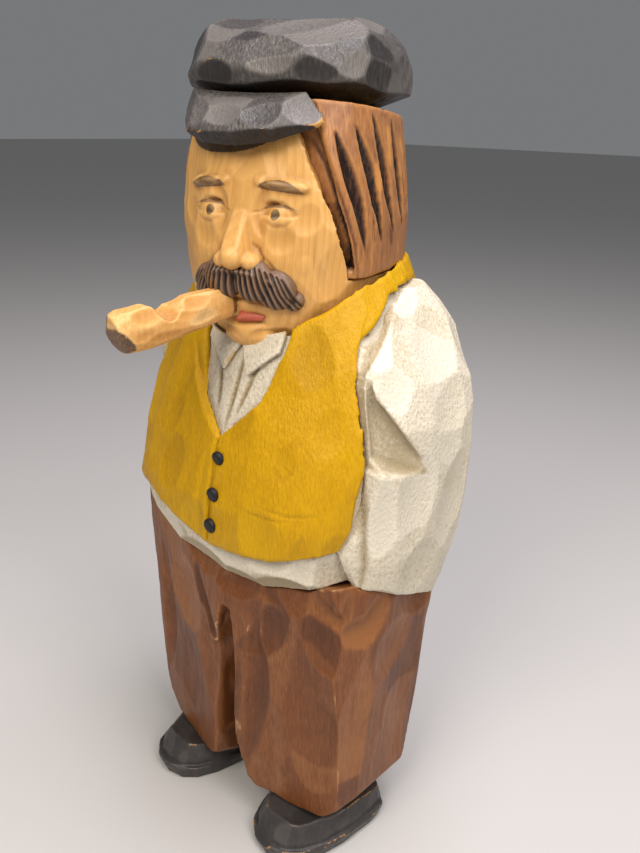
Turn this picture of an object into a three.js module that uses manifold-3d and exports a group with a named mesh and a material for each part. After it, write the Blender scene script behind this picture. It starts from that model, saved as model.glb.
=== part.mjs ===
// A carved and painted wooden figurine of a stout man with a flat cap, a moustache and a pipe.
// Units are millimetres, +Z is up and the figure faces -Y, so +X is the figure's own left.
// In life the man is one block of wood and the pipe is a second piece pushed into a hole in his
// mouth. The regions of the block are cut here from shared bodies, and meet along the carved borders.
import * as THREE from "three";
import { ConvexGeometry } from "three/addons/geometries/ConvexGeometry.js";
import { mergeVertices } from "three/addons/utils/BufferGeometryUtils.js";
import Module from "manifold-3d";

const wasm = await Module();
wasm.setup();

// ---------------------------------------------------------------- driving dimensions
const GAP = 0.3; // clearance left between neighbouring regions
const CAP_TOP = 240; // overall height
const HEM = 12; // lowest edge of the trouser legs
const CROTCH = 80; // top of the gap between the legs
const GAP_FOOT = 14; // width of that gap at the floor
const CENTRE = 4; // the belly's centre line sits a little to the figure's left
const VEST_THICK = 1.8; // how far the vest stands proud of the shirt
const HAIR_THICK = 1.3; // how far the hair stands proud of the head
const HEAD_TURN = 15; // degrees the head is turned to the figure's left
const SOLE_TOP = 5; // top of the sole slab
const BUTTON = { radius: 1.7, sunk: 0.6, proud: 0.5 };
const PEG = { radius: 2.4, depth: 10 }; // the end of the pipe, inside the mouth
const MOUTH = [1.6, -26, 169.4]; // where the pipe leaves the face
const PIPE_DROOP = 7; // degrees the pipe hangs below level
const FAR = 200; // reach of a cutting body past the figure

// ---------------------------------------------------------------- solids and cuts
/** A three.js geometry as a manifold solid. */
function solid(geometry) {
  const bare = geometry.index ? geometry.toNonIndexed() : geometry.clone();
  bare.deleteAttribute("normal");
  bare.deleteAttribute("uv");
  const merged = mergeVertices(bare, 1e-4);
  return new wasm.Manifold(
    new wasm.Mesh({
      numProp: 3,
      vertProperties: merged.getAttribute("position").array,
      triVerts: new Uint32Array(merged.index.array),
    }),
  );
}

/** A manifold solid as a three.js geometry. */
function geometryOf(shape) {
  const mesh = shape.getMesh();
  const geometry = new THREE.BufferGeometry();
  geometry.setAttribute("position", new THREE.BufferAttribute(mesh.vertProperties, 3));
  geometry.setIndex(new THREE.BufferAttribute(mesh.triVerts, 1));
  const flat = geometry.toNonIndexed();
  flat.computeVertexNormals();
  return flat;
}

/** A smooth value of one key, at place u along the stations. */
function along(stations, key, u) {
  const last = stations.length - 1;
  const i = Math.min(Math.floor(u), last - 1);
  const f = u - i;
  const v = (k) => stations[Math.max(0, Math.min(last, k))][key] ?? 0;
  const [a, b, c, d] = [v(i - 1), v(i), v(i + 1), v(i + 2)];
  return b + 0.5 * f * (c - a + f * (2 * a - 5 * b + 4 * c - d + f * (3 * (b - c) + d - a)));
}

/**
 * A closed body through level stations. Each gives z, the half width, the reach to the front and to
 * the back, and how square its corners are (2 is an ellipse). Optional x and y move its centre, and
 * slopeY tilts it. grow makes the body larger all round.
 */
function loft(stations, columns, rows, grow = 0) {
  const geometry = new THREE.CylinderGeometry(1, 1, 1, columns, rows);
  geometry.rotateX(Math.PI / 2);
  const place = geometry.getAttribute("position");
  for (let i = 0; i < place.count; i++) {
    const u = (place.getZ(i) + 0.5) * (stations.length - 1);
    const at = (key) => along(stations, key, u);
    const angle = Math.atan2(place.getY(i), place.getX(i));
    const radius = Math.min(1, Math.hypot(place.getX(i), place.getY(i)));
    const power = 2 / at("square");
    const c = Math.cos(angle);
    const s = Math.sin(angle);
    const depth = s < 0 ? at("front") : at("back");
    const x = at("x") + radius * (at("wide") + grow) * Math.sign(c) * Math.abs(c) ** power;
    const y = at("y") + radius * (depth + grow) * Math.sign(s) * Math.abs(s) ** power;
    const end = grow * (place.getZ(i) < -0.49 ? -1 : place.getZ(i) > 0.49 ? 1 : 0);
    place.setXYZ(i, x, y, at("z") + at("slopeY") * y + end);
  }
  return solid(geometry);
}

/** A prism through the figure along Y, from an outline of [x, z] points in the front view. */
function frontPrism(points, from = -FAR, to = FAR) {
  const shape = new THREE.Shape(points.map(([x, z]) => new THREE.Vector2(x, z)));
  const geometry = new THREE.ExtrudeGeometry(shape, { depth: to - from, bevelEnabled: false });
  geometry.rotateX(Math.PI / 2); // the outline's y becomes z, and its depth runs to -Y
  geometry.translate(0, to, 0);
  return solid(geometry);
}

/** A prism across the figure along X, from an outline of [y, z] points in the side view. */
function sidePrism(points, from = -FAR, to = FAR) {
  const shape = new THREE.Shape(points.map(([y, z]) => new THREE.Vector2(y, z)));
  const geometry = new THREE.ExtrudeGeometry(shape, { depth: to - from, bevelEnabled: false });
  geometry.rotateX(Math.PI / 2);
  geometry.rotateZ(Math.PI / 2);
  geometry.translate(from, 0, 0);
  return solid(geometry);
}

/** The convex body round a set of [x, y, z] points: a wedge, a chip or a lobe. */
function hull(points) {
  return solid(new ConvexGeometry(points.map((p) => new THREE.Vector3(...p))));
}

/** Takes off everything beyond the plane through a point, like one flat stroke of a knife. */
function stroke(shape, [point, normal]) {
  const side = 2 * FAR;
  const waste = new THREE.BoxGeometry(side, side, side).translate(0, 0, FAR);
  const turn = new THREE.Quaternion();
  turn.setFromUnitVectors(new THREE.Vector3(0, 0, 1), new THREE.Vector3(...normal).normalize());
  waste.applyQuaternion(turn);
  waste.translate(...point);
  return shape.subtract(solid(waste));
}

const carve = (shape, strokes) => strokes.reduce(stroke, shape);
const mirrorX = (shape) => shape.mirror([1, 0, 0]);
const turned = (shape) => shape.rotate([0, 0, HEAD_TURN]);
const union = (shapes) => shapes.reduce((whole, shape) => whole.add(shape));
const bothSides = (strokes) =>
  strokes.flatMap(([[x, y, z], [nx, ny, nz]]) => [
    [[x, y, z], [nx, ny, nz]],
    [[-x, y, z], [-nx, ny, nz]],
  ]);

// ---------------------------------------------------------------- the body block
const TORSO = [
  { z: 80, wide: 37, front: 28, back: 30, square: 3 },
  { z: 89, wide: 43, front: 34, back: 34, square: 3 },
  { z: 100, wide: 46, front: 36.5, back: 36, square: 3 },
  { z: 115, wide: 46.5, front: 36, back: 36, square: 3 },
  { z: 138, wide: 44.5, front: 30, back: 35, square: 2.9 },
  { z: 160, wide: 38.6, front: 23.5, back: 34, square: 2.7, slopeY: 0.04 },
  { z: 180.5, wide: 28, front: 14, back: 32, square: 2.4, slopeY: 0.09 },
];
const SLEEVE = [
  { z: 80, wide: 8, front: 20, back: 14, x: 38, y: 6, square: 2.6 },
  { z: 102, wide: 12.5, front: 25, back: 20, x: 39, y: 6, square: 2.6 },
  { z: 124, wide: 15, front: 26, back: 23, x: 38, y: 6, square: 2.6 },
  { z: 146, wide: 17, front: 28, back: 24, x: 34.5, y: 8, square: 2.6 },
  { z: 163, wide: 14, front: 22, back: 21, x: 29, y: 10, square: 2.4 },
  { z: 174, wide: 8, front: 11, back: 11, x: 25, y: 13, square: 2.2 },
];
const TROUSER_SEAT = [
  { z: 64, wide: 44.4, front: 32.6, back: 30, square: 3.2 },
  { z: 84, wide: 46, front: 34, back: 34, square: 3.2 },
  { z: 104, wide: 46, front: 34, back: 35, square: 3.2 },
];
const TROUSER_LEG = [
  { z: HEM, wide: 17.5, front: 27.5, back: 17, x: 22.5, square: 3 },
  { z: 20, wide: 20.4, front: 31.6, back: 22, x: 22.5, square: 3.3 },
  { z: 48, wide: 22.4, front: 33, back: 26, x: 21.7, square: 3 },
  { z: 78, wide: 23.5, front: 32.4, back: 31, x: 20.5, square: 3 },
];
const torsoBody = (grow) => loft(TORSO, 26, 10, grow);
const coreBody = (grow) => torsoBody(grow - VEST_THICK);

/** The trousers' upper edge: a smile under the belly, from side to side. */
const WAIST_LINE = [
  [-60, 104],
  [-40, 102],
  [-22, 99],
  [-6, 93],
  [9, 91],
  [25, 92.5],
  [37, 96.5],
  [46, 100],
  [60, 103],
];
/** Everything above or below the trousers' upper edge, moved by some amount. */
function sideOfWaist(above, shift) {
  const end = above ? CAP_TOP : -FAR;
  const line = WAIST_LINE.map(([x, z]) => [x, z + shift]);
  return frontPrism([[-60, end], ...line, [60, end]]);
}

/** One sleeve, the figure's left: its cuff slants back into the pocket and its elbow is a deep fold. */
function sleeveBody(grow) {
  const cuff = [[38, 0, 90 - grow], [0, -0.42, -1]];
  const shoulder = [[40, 6, 163.6 + grow], [0.75, -0.05, 0.66]];
  const front = [[44, -17 - grow, 140], [0.35, -0.94, 0.05]];
  const back = [[48, 24 + grow, 130], [0.5, 0.86, 0.05]];
  return carve(loft(SLEEVE, 18, 9, grow), [cuff, shoulder, front, back]);
}
const ELBOW_FOLD = hull([
  [38, -16, 158],
  [54.5, 1, 127.6],
  [60, -6, 131],
  [44, -22, 133.5],
  [60, -24, 134],
  [41.5, -15.5, 134.5],
  [47, -8, 131.5],
]);

// ---------------------------------------------------------------- the vest and the shirt
const NECK_OUTLINE = [
  [CENTRE - 0.5, 133],
  [CENTRE + 10.6, 144.5],
  [CENTRE + 14.3, 159.5],
  [CENTRE + 15.5, 190],
  [CENTRE - 15.5, 190],
  [CENTRE - 14.3, 159.5],
  [CENTRE - 10, 142.5],
];
const VEST_HEM = [
  [-60, 112],
  [-24, 110],
  [-10.7, 106],
  [CENTRE, 102.6],
  [17, 103.6],
  [27, 105],
  [37, 107.6],
  [60, 112],
];
const SEAM = { y: 14 }; // the vest's side seams run down under the arms
const half = (from, to) => frontPrism([[from, 60], [to, 60], [to, 200], [from, 200]]);

/** The vest as one shell round the shirt, before it is parted into its three panels. */
function vestShell(sleeves) {
  const hem = frontPrism([[-60, 60], ...VEST_HEM, [60, 60]]);
  const neck = frontPrism(NECK_OUTLINE, -FAR, 0);
  const shell = torsoBody(0).subtract(coreBody(GAP)).subtract(hem).subtract(neck);
  const neckTop = turned(loft(HEAD, 24, 8, HAIR_THICK + GAP));
  return shell.subtract(sleeves).subtract(neckTop);
}

/** The parts of the vest: left and right fronts that meet at the buttons, and the back. */
function vestPanels(shell) {
  const front = sidePrism([[-FAR, 60], [SEAM.y - GAP / 2, 60], [SEAM.y - GAP / 2, 200], [-FAR, 200]]);
  const rear = sidePrism([[SEAM.y + GAP / 2, 60], [FAR, 60], [FAR, 200], [SEAM.y + GAP / 2, 200]]);
  const edge = CENTRE - 0.5;
  return {
    left: shell.intersect(front).intersect(half(edge + GAP / 2, FAR)),
    right: shell.intersect(front).intersect(half(-FAR, edge - GAP / 2)),
    back: shell.intersect(rear),
  };
}

/** Two turned-down points of the shirt's collar, either side of the buttoned shirt front. */
function collarPoint(side) {
  const flap = frontPrism(
    [
      [CENTRE + side * 0.6, 158.4],
      [CENTRE + side * 4.6, 151],
      [CENTRE + side * 13.2, 158.2],
      [CENTRE + side * 13.6, 176],
      [CENTRE + side * 2.4, 176],
    ],
    -FAR,
    0,
  );
  const inner = loft(TORSO, 26, 10, GAP - VEST_THICK + 0.1);
  return loft(TORSO, 26, 10, -0.4).subtract(inner).intersect(flap);
}

/** The shirt: the whole core of the trunk, seen in the neck opening and as the roll under the vest. */
function shirtBody() {
  const crease = (x, top, lean) =>
    hull([
      [x - 0.7, -60, 134 + Math.abs(x - CENTRE) * 1.3],
      [x + 0.7, -60, 134 + Math.abs(x - CENTRE) * 1.3],
      [x, -25, 136 + Math.abs(x - CENTRE) * 1.3],
      [x + lean - 0.7, -60, top],
      [x + lean + 0.7, -60, top],
      [x + lean, -19.2, top],
    ]);
  const rollFacets = [
    [[CENTRE, -33.4, 96], [0, -0.86, -0.5]],
    [[24, -31.2, 97], [0.3, -0.8, -0.5]],
    [[-18, -31.8, 98], [-0.3, -0.8, -0.5]],
    [[38, -26, 101], [0.6, -0.62, -0.5]],
    [[-38, -26, 102], [-0.6, -0.62, -0.5]],
  ];
  const creases = [crease(CENTRE - 0.4, 158, 1.4), crease(CENTRE + 4.4, 150, 1.6)];
  return carve(coreBody(0), rollFacets)
    .intersect(sideOfWaist(true, GAP))
    .subtract(creases[0])
    .subtract(creases[1]);
}

// ---------------------------------------------------------------- the trousers
/** Two blocky legs that join under the belly, with long flats down the front and the sides. */
function trousersBody() {
  const leg = loft(TROUSER_LEG, 18, 5);
  const flats = bothSides([
    [[31, -31.6, 60], [0.3, -0.95, 0.02]],
    [[40, -25.6, 60], [0.72, -0.7, 0.02]],
    [[14, -31.6, 40], [-0.2, -0.98, -0.06]],
    [[42.4, 6, 50], [1, 0.1, -0.06]],
    [[26, -27.5, 16], [0.05, -0.7, -0.7]],
    [[39.5, -4, 17], [0.72, 0, -0.7]],
    [[34, 24.5, 60], [0.45, 0.88, -0.12]],
    [[12, 27, 50], [-0.1, 0.98, -0.2]],
  ]);
  const gap = frontPrism([
    [-GAP_FOOT / 2, -1],
    [GAP_FOOT / 2, -1],
    [CENTRE, 50],
    [CENTRE, CROTCH - 2],
    [CENTRE - 1.6, CROTCH],
    [CENTRE - 3.2, CROTCH - 6],
    [-3.6, 50],
  ]);
  const notch = hull([
    [CENTRE - 6, -60, CROTCH + 1],
    [CENTRE + 2, -60, CROTCH + 4],
    [CENTRE - 1, -31, CROTCH + 1],
    [CENTRE - 4, -60, CROTCH - 8],
    [CENTRE, -60, CROTCH - 8],
    [CENTRE - 1.6, -26, CROTCH - 6],
  ]);
  const block = loft(TROUSER_SEAT, 24, 3).add(leg).add(mirrorX(leg));
  return carve(block.subtract(gap).subtract(notch), flats);
}

// ---------------------------------------------------------------- the head, the hair and the cap
const HEAD = [
  { z: 156, wide: 14, front: 16, back: 17, square: 2.3 },
  { z: 164, wide: 23, front: 24, back: 24, square: 2.4 },
  { z: 182, wide: 29, front: 27, back: 29, square: 2.5 },
  { z: 202, wide: 28, front: 26, back: 29.5, square: 2.5 },
  { z: 221, wide: 25, front: 21, back: 28, square: 2.5 },
];
const CROWN = [
  { z: 220, wide: 25, front: 20, back: 32, square: 2.6, slopeY: -0.1 },
  { z: 223, wide: 27.4, front: 23, back: 36, square: 2.6, slopeY: -0.1 },
  { z: 230, wide: 27.4, front: 23, back: 36, square: 2.6, slopeY: -0.05 },
  { z: 236.5, wide: 24.5, front: 20, back: 31, square: 2.4 },
  { z: CAP_TOP + 1, wide: 18, front: 13, back: 22, square: 2.3 },
];
const VISOR = [
  { z: 207, wide: 22, front: 27, back: 2, square: 2.5 },
  { z: 212, wide: 24, front: 32, back: 2, square: 2.5 },
  { z: 223, wide: 25, front: 27, back: 2, square: 2.5 },
];
/** The border between face and hair in the side view, from the cap down past the jaw. */
const HAIRLINE = [
  [-20, 224],
  [-20.6, 214],
  [-20.6, 206],
  [-19.6, 197],
  [-17, 186],
  [-14, 177],
];
const TEMPLE_STEP = 8; // the hair on his right starts further back
const HAIR_FOOT = 180.6; // the hair is cut off level, just above the vest's neck
const HAIR_FLUTES = 6; // V cuts on each side of the head

/** Everything behind the hairline, moved back by some amount. */
function behindHairline(shift) {
  const outline = (back) => [
    ...HAIRLINE.map(([y, z]) => [y + shift + back, z]),
    [60, HAIR_FOOT - 4],
    [60, 224],
  ];
  return sidePrism(outline(0), 0).add(sidePrism(outline(TEMPLE_STEP), -FAR, 0));
}

/** One V cut down the hair at a bearing round the head, leaning back towards its foot. */
function flute(bearing, deep) {
  const rim = (angle, z, reach) => [Math.cos(angle) * reach, Math.sin(angle) * reach, z];
  const foot = bearing + 0.16;
  const width = 0.05;
  return hull([
    rim(bearing - width, 222, 60),
    rim(bearing + width, 222, 60),
    rim(bearing, 222, 27.8),
    rim(foot - width, 178, 60),
    rim(foot + width, 178, 60),
    rim(foot, 178, 29.6),
    rim((bearing + foot) / 2, 198, deep),
  ]);
}

/** The hair: a thick cap of locks round the sides and back of the head, parted by V cuts. */
function hairBody() {
  let hair = loft(HEAD, 24, 8, HAIR_THICK).subtract(loft(HEAD, 24, 8, GAP - 2));
  hair = hair.intersect(behindHairline(GAP));
  hair = stroke(hair, [[0, 0, HAIR_FOOT], [0, 0.05, -1]]);
  hair = stroke(hair, [[0, 0, 218.5], [0, 0.1, 1]]);
  const cuts = [];
  for (let i = 0; i < HAIR_FLUTES; i++) {
    const bearing = -0.42 + i * 0.33;
    cuts.push(flute(bearing, 28.4), flute(Math.PI - bearing - 0.16, 28.4));
  }
  return hair.subtract(union(cuts));
}

/** The face and the core of the head, in the same long flats as the rest of the carving. */
function headBody() {
  const nose = hull([
    [-2.2, -24, 198],
    [2.2, -24, 198],
    [-1.4, -27, 194],
    [1.4, -27, 194],
    [-2.3, -32, 185],
    [2.3, -32, 185],
    [-4.8, -27.2, 181.5],
    [4.8, -27.2, 181.5],
    [0, -31, 181],
    [-5, -22, 184],
    [5, -22, 184],
  ]);
  const socket = (side) =>
    hull([
      [side * 3, -25.2, 193.5],
      [side * 16, -22.6, 193],
      [side * 4, -40, 200],
      [side * 18, -40, 200],
      [side * 3, -40, 190],
      [side * 18, -40, 188],
      [side * 9, -24.4, 196.5],
    ]);
  const flats = bothSides([
    [[20, -20.4, 182], [0.62, -0.78, -0.06]],
    [[13, -22.6, 165], [0.4, -0.74, -0.52]],
    [[17, -20.5, 206], [0.5, -0.84, 0.16]],
    [[24, -6, 166], [0.82, -0.1, -0.56]],
  ]);
  const chin = [[0, -24.4, 160], [0, -0.8, -0.6]];
  const skull = carve(loft(HEAD, 24, 8), [...flats, chin]);
  return skull.subtract(socket(1)).subtract(socket(-1)).add(nose);
}

/** Half the moustache, the figure's left: a drooping lobe with flutes that fan out from the nose. */
function moustacheHalf() {
  const lobe = hull([
    [-0.2, -26, 182],
    [-0.2, -31.4, 179.6],
    [-0.2, -26, 175.4],
    [5, -25, 182],
    [5, -31.4, 179],
    [5, -25, 174],
    [10.5, -23, 180.4],
    [10.5, -29, 177],
    [10.5, -23, 171.4],
    [15, -20, 175.4],
    [15.4, -24, 172],
    [14, -20, 169],
  ]);
  const flutes = [];
  for (let i = 0; i < 5; i++) {
    const x = 1.5 + i * 2.5;
    const lean = 0.4 + i * 0.7;
    flutes.push(
      hull([
        [x - 0.7, -40, 186 - i * 0.8],
        [x + 0.7, -40, 186 - i * 0.8],
        [x, -28 + i * 0.7, 183 - i * 0.8],
        [x + lean - 0.7, -40, 166],
        [x + lean + 0.7, -40, 166],
        [x + lean, -27.6 + i * 0.7, 168],
      ]),
    );
  }
  return lobe.subtract(union(flutes));
}

/** The soft crown of the cap, overhanging the band all round. */
function crownBody() {
  const flats = [
    [[0, -21.4, 231], [0, -0.85, 0.5]],
    [[19.4, -16.4, 231], [0.6, -0.66, 0.46]],
    [[-19.4, -16.4, 231], [-0.6, -0.66, 0.46]],
    [[25.6, 4, 233], [0.84, 0.05, 0.54]],
    [[-25.6, 4, 233], [-0.84, 0.05, 0.54]],
    [[18.6, 28, 234], [0.55, 0.64, 0.54]],
    [[-18.6, 28, 234], [-0.55, 0.64, 0.54]],
    [[0, 34.6, 233.4], [0, 0.85, 0.53]],
    [[0, -14, CAP_TOP - 3.5], [0.05, -0.32, 1]],
    [[0, 6, CAP_TOP], [0, 0, 1]],
    [[14, 14, CAP_TOP - 0.7], [0.25, 0.2, 0.9]],
    [[-14, 14, CAP_TOP - 0.7], [-0.3, 0.2, 0.9]],
  ];
  return carve(loft(CROWN, 24, 6), flats);
}

/** The visor: a short, thick peak scooped into four flats, running back along the temples. */
function visorBody() {
  const peak = loft(VISOR, 22, 4).intersect(
    sidePrism([[-50, 204], [-31, 208.2], [-25.6, 212], [-12, 219.6], [-4, 223], [-4, 230], [-50, 230]]),
  );
  const scoops = bothSides([
    [[5, -30.4, 215], [0.14, -0.86, 0.5]],
    [[15.5, -25.6, 215], [0.56, -0.7, 0.44]],
    [[21, -19, 218], [0.85, -0.42, 0.3]],
  ]);
  return carve(peak, scoops);
}

// ---------------------------------------------------------------- the shoes
const SOLE = [
  { z: 0, wide: 14.6, front: 32.6, back: 10.6, x: 25, square: 2.5 },
  { z: SOLE_TOP - 1, wide: 16, front: 34, back: 12, x: 25, square: 2.5 },
  { z: SOLE_TOP, wide: 16, front: 34, back: 12, x: 25, square: 2.5 },
];
const UPPER = [
  { z: SOLE_TOP - 0.6, wide: 14.6, front: 32.4, back: 10.8, x: 25, square: 2.5 },
  { z: 9, wide: 14.4, front: 31, back: 10.6, x: 25, square: 2.5 },
  { z: 17, wide: 12, front: 24, back: 10, x: 25, square: 2.4 },
];
/** One shoe, the figure's left: a blunt toe on a sole that shows as a step all round. */
function shoeBody() {
  const flats = [
    [[25, -30.6, 9], [0, -0.72, 0.7]],
    [[36.4, -18, 9.6], [0.78, -0.3, 0.56]],
    [[13.6, -18, 9.6], [-0.78, -0.3, 0.56]],
    [[35, -29, 3], [0.62, -0.76, -0.1]],
    [[15, -29, 3], [-0.62, -0.76, -0.1]],
  ];
  return carve(loft(SOLE, 20, 2).add(loft(UPPER, 20, 3)), flats);
}

// ---------------------------------------------------------------- the pipe
const PIPE = [
  { z: 0, wide: 3.5, front: 3.5, back: 3.5, square: 2.4 },
  { z: 7, wide: 3.8, front: 3.9, back: 3.8, square: 2.4 },
  { z: 15, wide: 4.3, front: 4.3, back: 4, square: 2.4 },
  { z: 21, wide: 4.4, front: 4.6, back: 3.6, square: 2.4 },
  { z: 28, wide: 4.8, front: 4.6, back: 5.2, square: 2.6 },
  { z: 34.5, wide: 4.2, front: 3.6, back: 4.2, square: 2.6 },
];
/** Lays a body that runs up from z 0 along the pipe's axis, out of the mouth. */
const laid = (shape) => shape.rotate([90 + PIPE_DROOP, 0, -2]).translate(MOUTH);

/** A round bar along the pipe's axis. */
function bar(radius, from, to) {
  const geometry = new THREE.CylinderGeometry(radius, radius, to - from, 14);
  return laid(solid(geometry.rotateX(Math.PI / 2).translate(0, 0, (from + to) / 2)));
}

/** The pipe: a stem that thickens to a rounded bowl, with a peg that fills the hole in the mouth. */
function pipeBody() {
  const stem = carve(loft(PIPE, 14, 8), [
    [[0, -4.6, 34], [0, -0.75, 0.66]],
    [[0, 5, 34], [0, 0.6, 0.8]],
    [[0, 3.4, 8], [0, 1, -0.04]],
  ]);
  return laid(stem).add(bar(PEG.radius, -PEG.depth, 1));
}

// ---------------------------------------------------------------- the figure
const group = new THREE.Group();
const PAINT = {
  yellow: [0xd6a013, 0.6],
  white: [0xd9d3c4, 0.6],
  brown: [0x7a4734, 0.55],
  black: [0x2a2a2e, 0.5],
  wood: [0xd8a566, 0.42],
  bare: [0xe0b074, 0.6],
  stain: [0x6f4428, 0.5],
  dark: [0x3f2a20, 0.5],
  red: [0xa8382a, 0.5],
};
function add(name, shape, [colour, roughness]) {
  const material = new THREE.MeshStandardMaterial({ color: colour, roughness, metalness: 0 });
  const mesh = new THREE.Mesh(geometryOf(shape), material);
  mesh.name = name;
  group.add(mesh);
}

const sleeveLeft = sleeveBody(0).subtract(coreBody(GAP)).subtract(ELBOW_FOLD);
const sleevesGrown = sleeveBody(GAP).add(mirrorX(sleeveBody(GAP)));
const headGrown = turned(loft(HEAD, 24, 8, GAP));
const hair = turned(hairBody());
const crown = turned(crownBody());
const crownGrown = turned(loft(CROWN, 24, 6, GAP));
const socket = bar(PEG.radius + GAP, -PEG.depth - GAP, 20).add(bar(PEG.radius + 2, -0.5, 20));
const travel = bar(5.2, -1, 12);

const shell = vestShell(sleevesGrown);
const panels = vestPanels(shell);
const buttonPlaces = [
  { name: "button_top", x: CENTRE + 1.4, z: 128 },
  { name: "button_middle", x: CENTRE + 1.8, z: 118 },
  { name: "button_bottom", x: CENTRE + 1.8, z: 109 },
];
/** A round cutter or button on the vest's front, its axis square to the belly there. */
function buttonDisc(place, radius, from, to) {
  const u = 4 * 0 + 2; // rows of the torso that hold the buttons lie between its middle stations
  const at = (z) => {
    const i = TORSO.findIndex((s) => s.z >= z);
    const f = (z - TORSO[i - 1].z) / (TORSO[i].z - TORSO[i - 1].z);
    return along(TORSO, "front", i - 1 + f);
  };
  const lean = Math.atan2(at(place.z + u) - at(place.z - u), 2 * u);
  const geometry = new THREE.CylinderGeometry(radius, radius, to - from, 14);
  geometry.translate(0, (from + to) / 2, 0); // the cylinder's axis starts along +Y
  geometry.rotateX(Math.PI - lean); // and turns to point out of the belly
  geometry.translate(place.x, -at(place.z), place.z);
  return solid(geometry);
}
for (const place of buttonPlaces) {
  const { radius, sunk, proud } = BUTTON;
  add(place.name, buttonDisc(place, radius, -sunk, proud), PAINT.black);
  panels.left = panels.left.subtract(buttonDisc(place, radius + GAP, -sunk - GAP, 9));
}
add("vest_left", panels.left, PAINT.yellow);
add("vest_right", panels.right, PAINT.yellow);
add("vest_back", panels.back, PAINT.yellow);

const neckRoom = turned(loft(HEAD, 24, 8, HAIR_THICK + GAP));
add("shirt", shirtBody().subtract(neckRoom), PAINT.white);
add("collar_left", collarPoint(1).subtract(neckRoom), PAINT.white);
add("collar_right", collarPoint(-1).subtract(neckRoom), PAINT.white);
add("sleeve_left", sleeveLeft.subtract(neckRoom), PAINT.white);
add("sleeve_right", mirrorX(sleeveLeft).subtract(neckRoom), PAINT.white);

const trousers = trousersBody()
  .subtract(coreBody(GAP).intersect(sideOfWaist(true, 0)))
  .subtract(sleevesGrown)
  .intersect(sideOfWaist(false, 0));
add("trousers", trousers, PAINT.brown);
const legRoom = loft(TROUSER_LEG, 18, 5, GAP);
const shoe = shoeBody().subtract(legRoom);
add("shoe_left", shoe, PAINT.black);
add("shoe_right", mirrorX(shoe), PAINT.black);

const moustache = turned(moustacheHalf().add(mirrorX(moustacheHalf())));
const lip = turned(
  hull([
    [-3.4, -26, 168.2],
    [7, -24.2, 168.6],
    [6, -25.4, 166.4],
    [-3, -27.6, 166.2],
    [-3, -25, 164.6],
    [5, -22.6, 164.8],
  ]),
);
const hairRoom = turned(
  loft(HEAD, 24, 8, 5).subtract(loft(HEAD, 24, 8, -2)).intersect(behindHairline(0)),
);
const face = turned(headBody()).subtract(crownGrown).subtract(hairRoom).subtract(socket);
add("head", face, PAINT.wood);
add("moustache", moustache.subtract(headGrown).subtract(travel), PAINT.dark);
add("lip", lip.subtract(headGrown).subtract(travel), PAINT.red);
add("hair", hair.subtract(crownGrown), PAINT.stain);
add("cap_crown", crown, PAINT.black);
const visor = turned(visorBody()).subtract(headGrown).subtract(hairRoom).subtract(crownGrown);
add("cap_visor", visor, PAINT.black);
add("pipe", pipeBody(), PAINT.bare);

// The origin is the middle of the figurine's footprint box, at floor level.
group.updateMatrixWorld(true);
const box = new THREE.Box3().setFromObject(group, true);
const middle = box.getCenter(new THREE.Vector3());
for (const mesh of group.children) mesh.geometry.translate(-middle.x, -middle.y, -box.min.z);

export default group;
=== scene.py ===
"""Looks of a carved and painted wooden figurine: a stout man in a flat cap and vest, with a pipe.

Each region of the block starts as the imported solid's own shape. It is taken to a fine closed mesh and then
cut as a carver cuts: long shallow scoops of a knife, V grooves and chips. The paints come last. They are
thin, so fibres and tool marks show through, they pool in the cuts and they rub off the sharp edges.

Cuts are given in millimetres in the carver's frame: the origin is on the floor in the middle of the block,
the figure faces -Y and +X is its own left. Head pieces use a frame that is turned with the head.
"""

import logging
import math
from dataclasses import dataclass
from enum import Enum
from typing import Any, Callable, Optional, Sequence

import bmesh
import bpy
import numpy as np
from mathutils import Matrix, Vector, noise
from mathutils.bvhtree import BVHTree


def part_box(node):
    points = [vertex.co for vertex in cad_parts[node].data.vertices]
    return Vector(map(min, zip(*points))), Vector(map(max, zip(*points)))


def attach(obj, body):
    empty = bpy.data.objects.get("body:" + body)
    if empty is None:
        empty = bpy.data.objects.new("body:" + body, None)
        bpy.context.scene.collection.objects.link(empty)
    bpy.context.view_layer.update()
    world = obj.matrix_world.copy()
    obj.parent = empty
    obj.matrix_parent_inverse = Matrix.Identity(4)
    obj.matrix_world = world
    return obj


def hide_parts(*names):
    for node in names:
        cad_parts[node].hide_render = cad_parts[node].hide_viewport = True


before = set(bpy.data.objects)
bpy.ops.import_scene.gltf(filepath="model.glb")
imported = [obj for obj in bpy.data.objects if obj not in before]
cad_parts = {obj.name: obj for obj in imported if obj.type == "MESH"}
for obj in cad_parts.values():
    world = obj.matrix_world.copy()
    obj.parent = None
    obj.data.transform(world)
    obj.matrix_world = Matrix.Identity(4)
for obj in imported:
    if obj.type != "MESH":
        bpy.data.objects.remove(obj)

LOG = logging.getLogger("figurine")
MM = 0.001
SHOE_HEEL_REACH = 12.0  # the heels end this far behind the block's middle
BLOCK_MIDDLE_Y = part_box("shoe_left")[1].y / MM - SHOE_HEEL_REACH
HEAD_TURN = math.radians(15.0)
WELD = 0.002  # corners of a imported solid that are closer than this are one, mm
SNAP_REACH = 9.0  # a cut or a groove finds the surface within this distance, mm
LEAST_CUT = 1e-4  # anything shallower leaves the surface alone, mm
LIFT = 0.25  # the knife is lifted over this share of a cut's half width
CANDIDATES = 6000  # how many places are tried when small cuts are laid side by side
UNEVEN = (0.7, 1.4)  # how much the radii of small cuts vary
HAND_TILT, HAND_SWING = 0.035, 0.12  # how unsteadily a small cut is held and drawn
EVEN_OUT = 2.6  # small cuts face the way that the surface does over this distance, mm
FINE_BLUR = 0.9  # a ridge or a cut stands out from its surroundings over this distance, mm
RIDGE_FULL = 0.16  # a ridge this high is rubbed as much as any, mm
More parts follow.
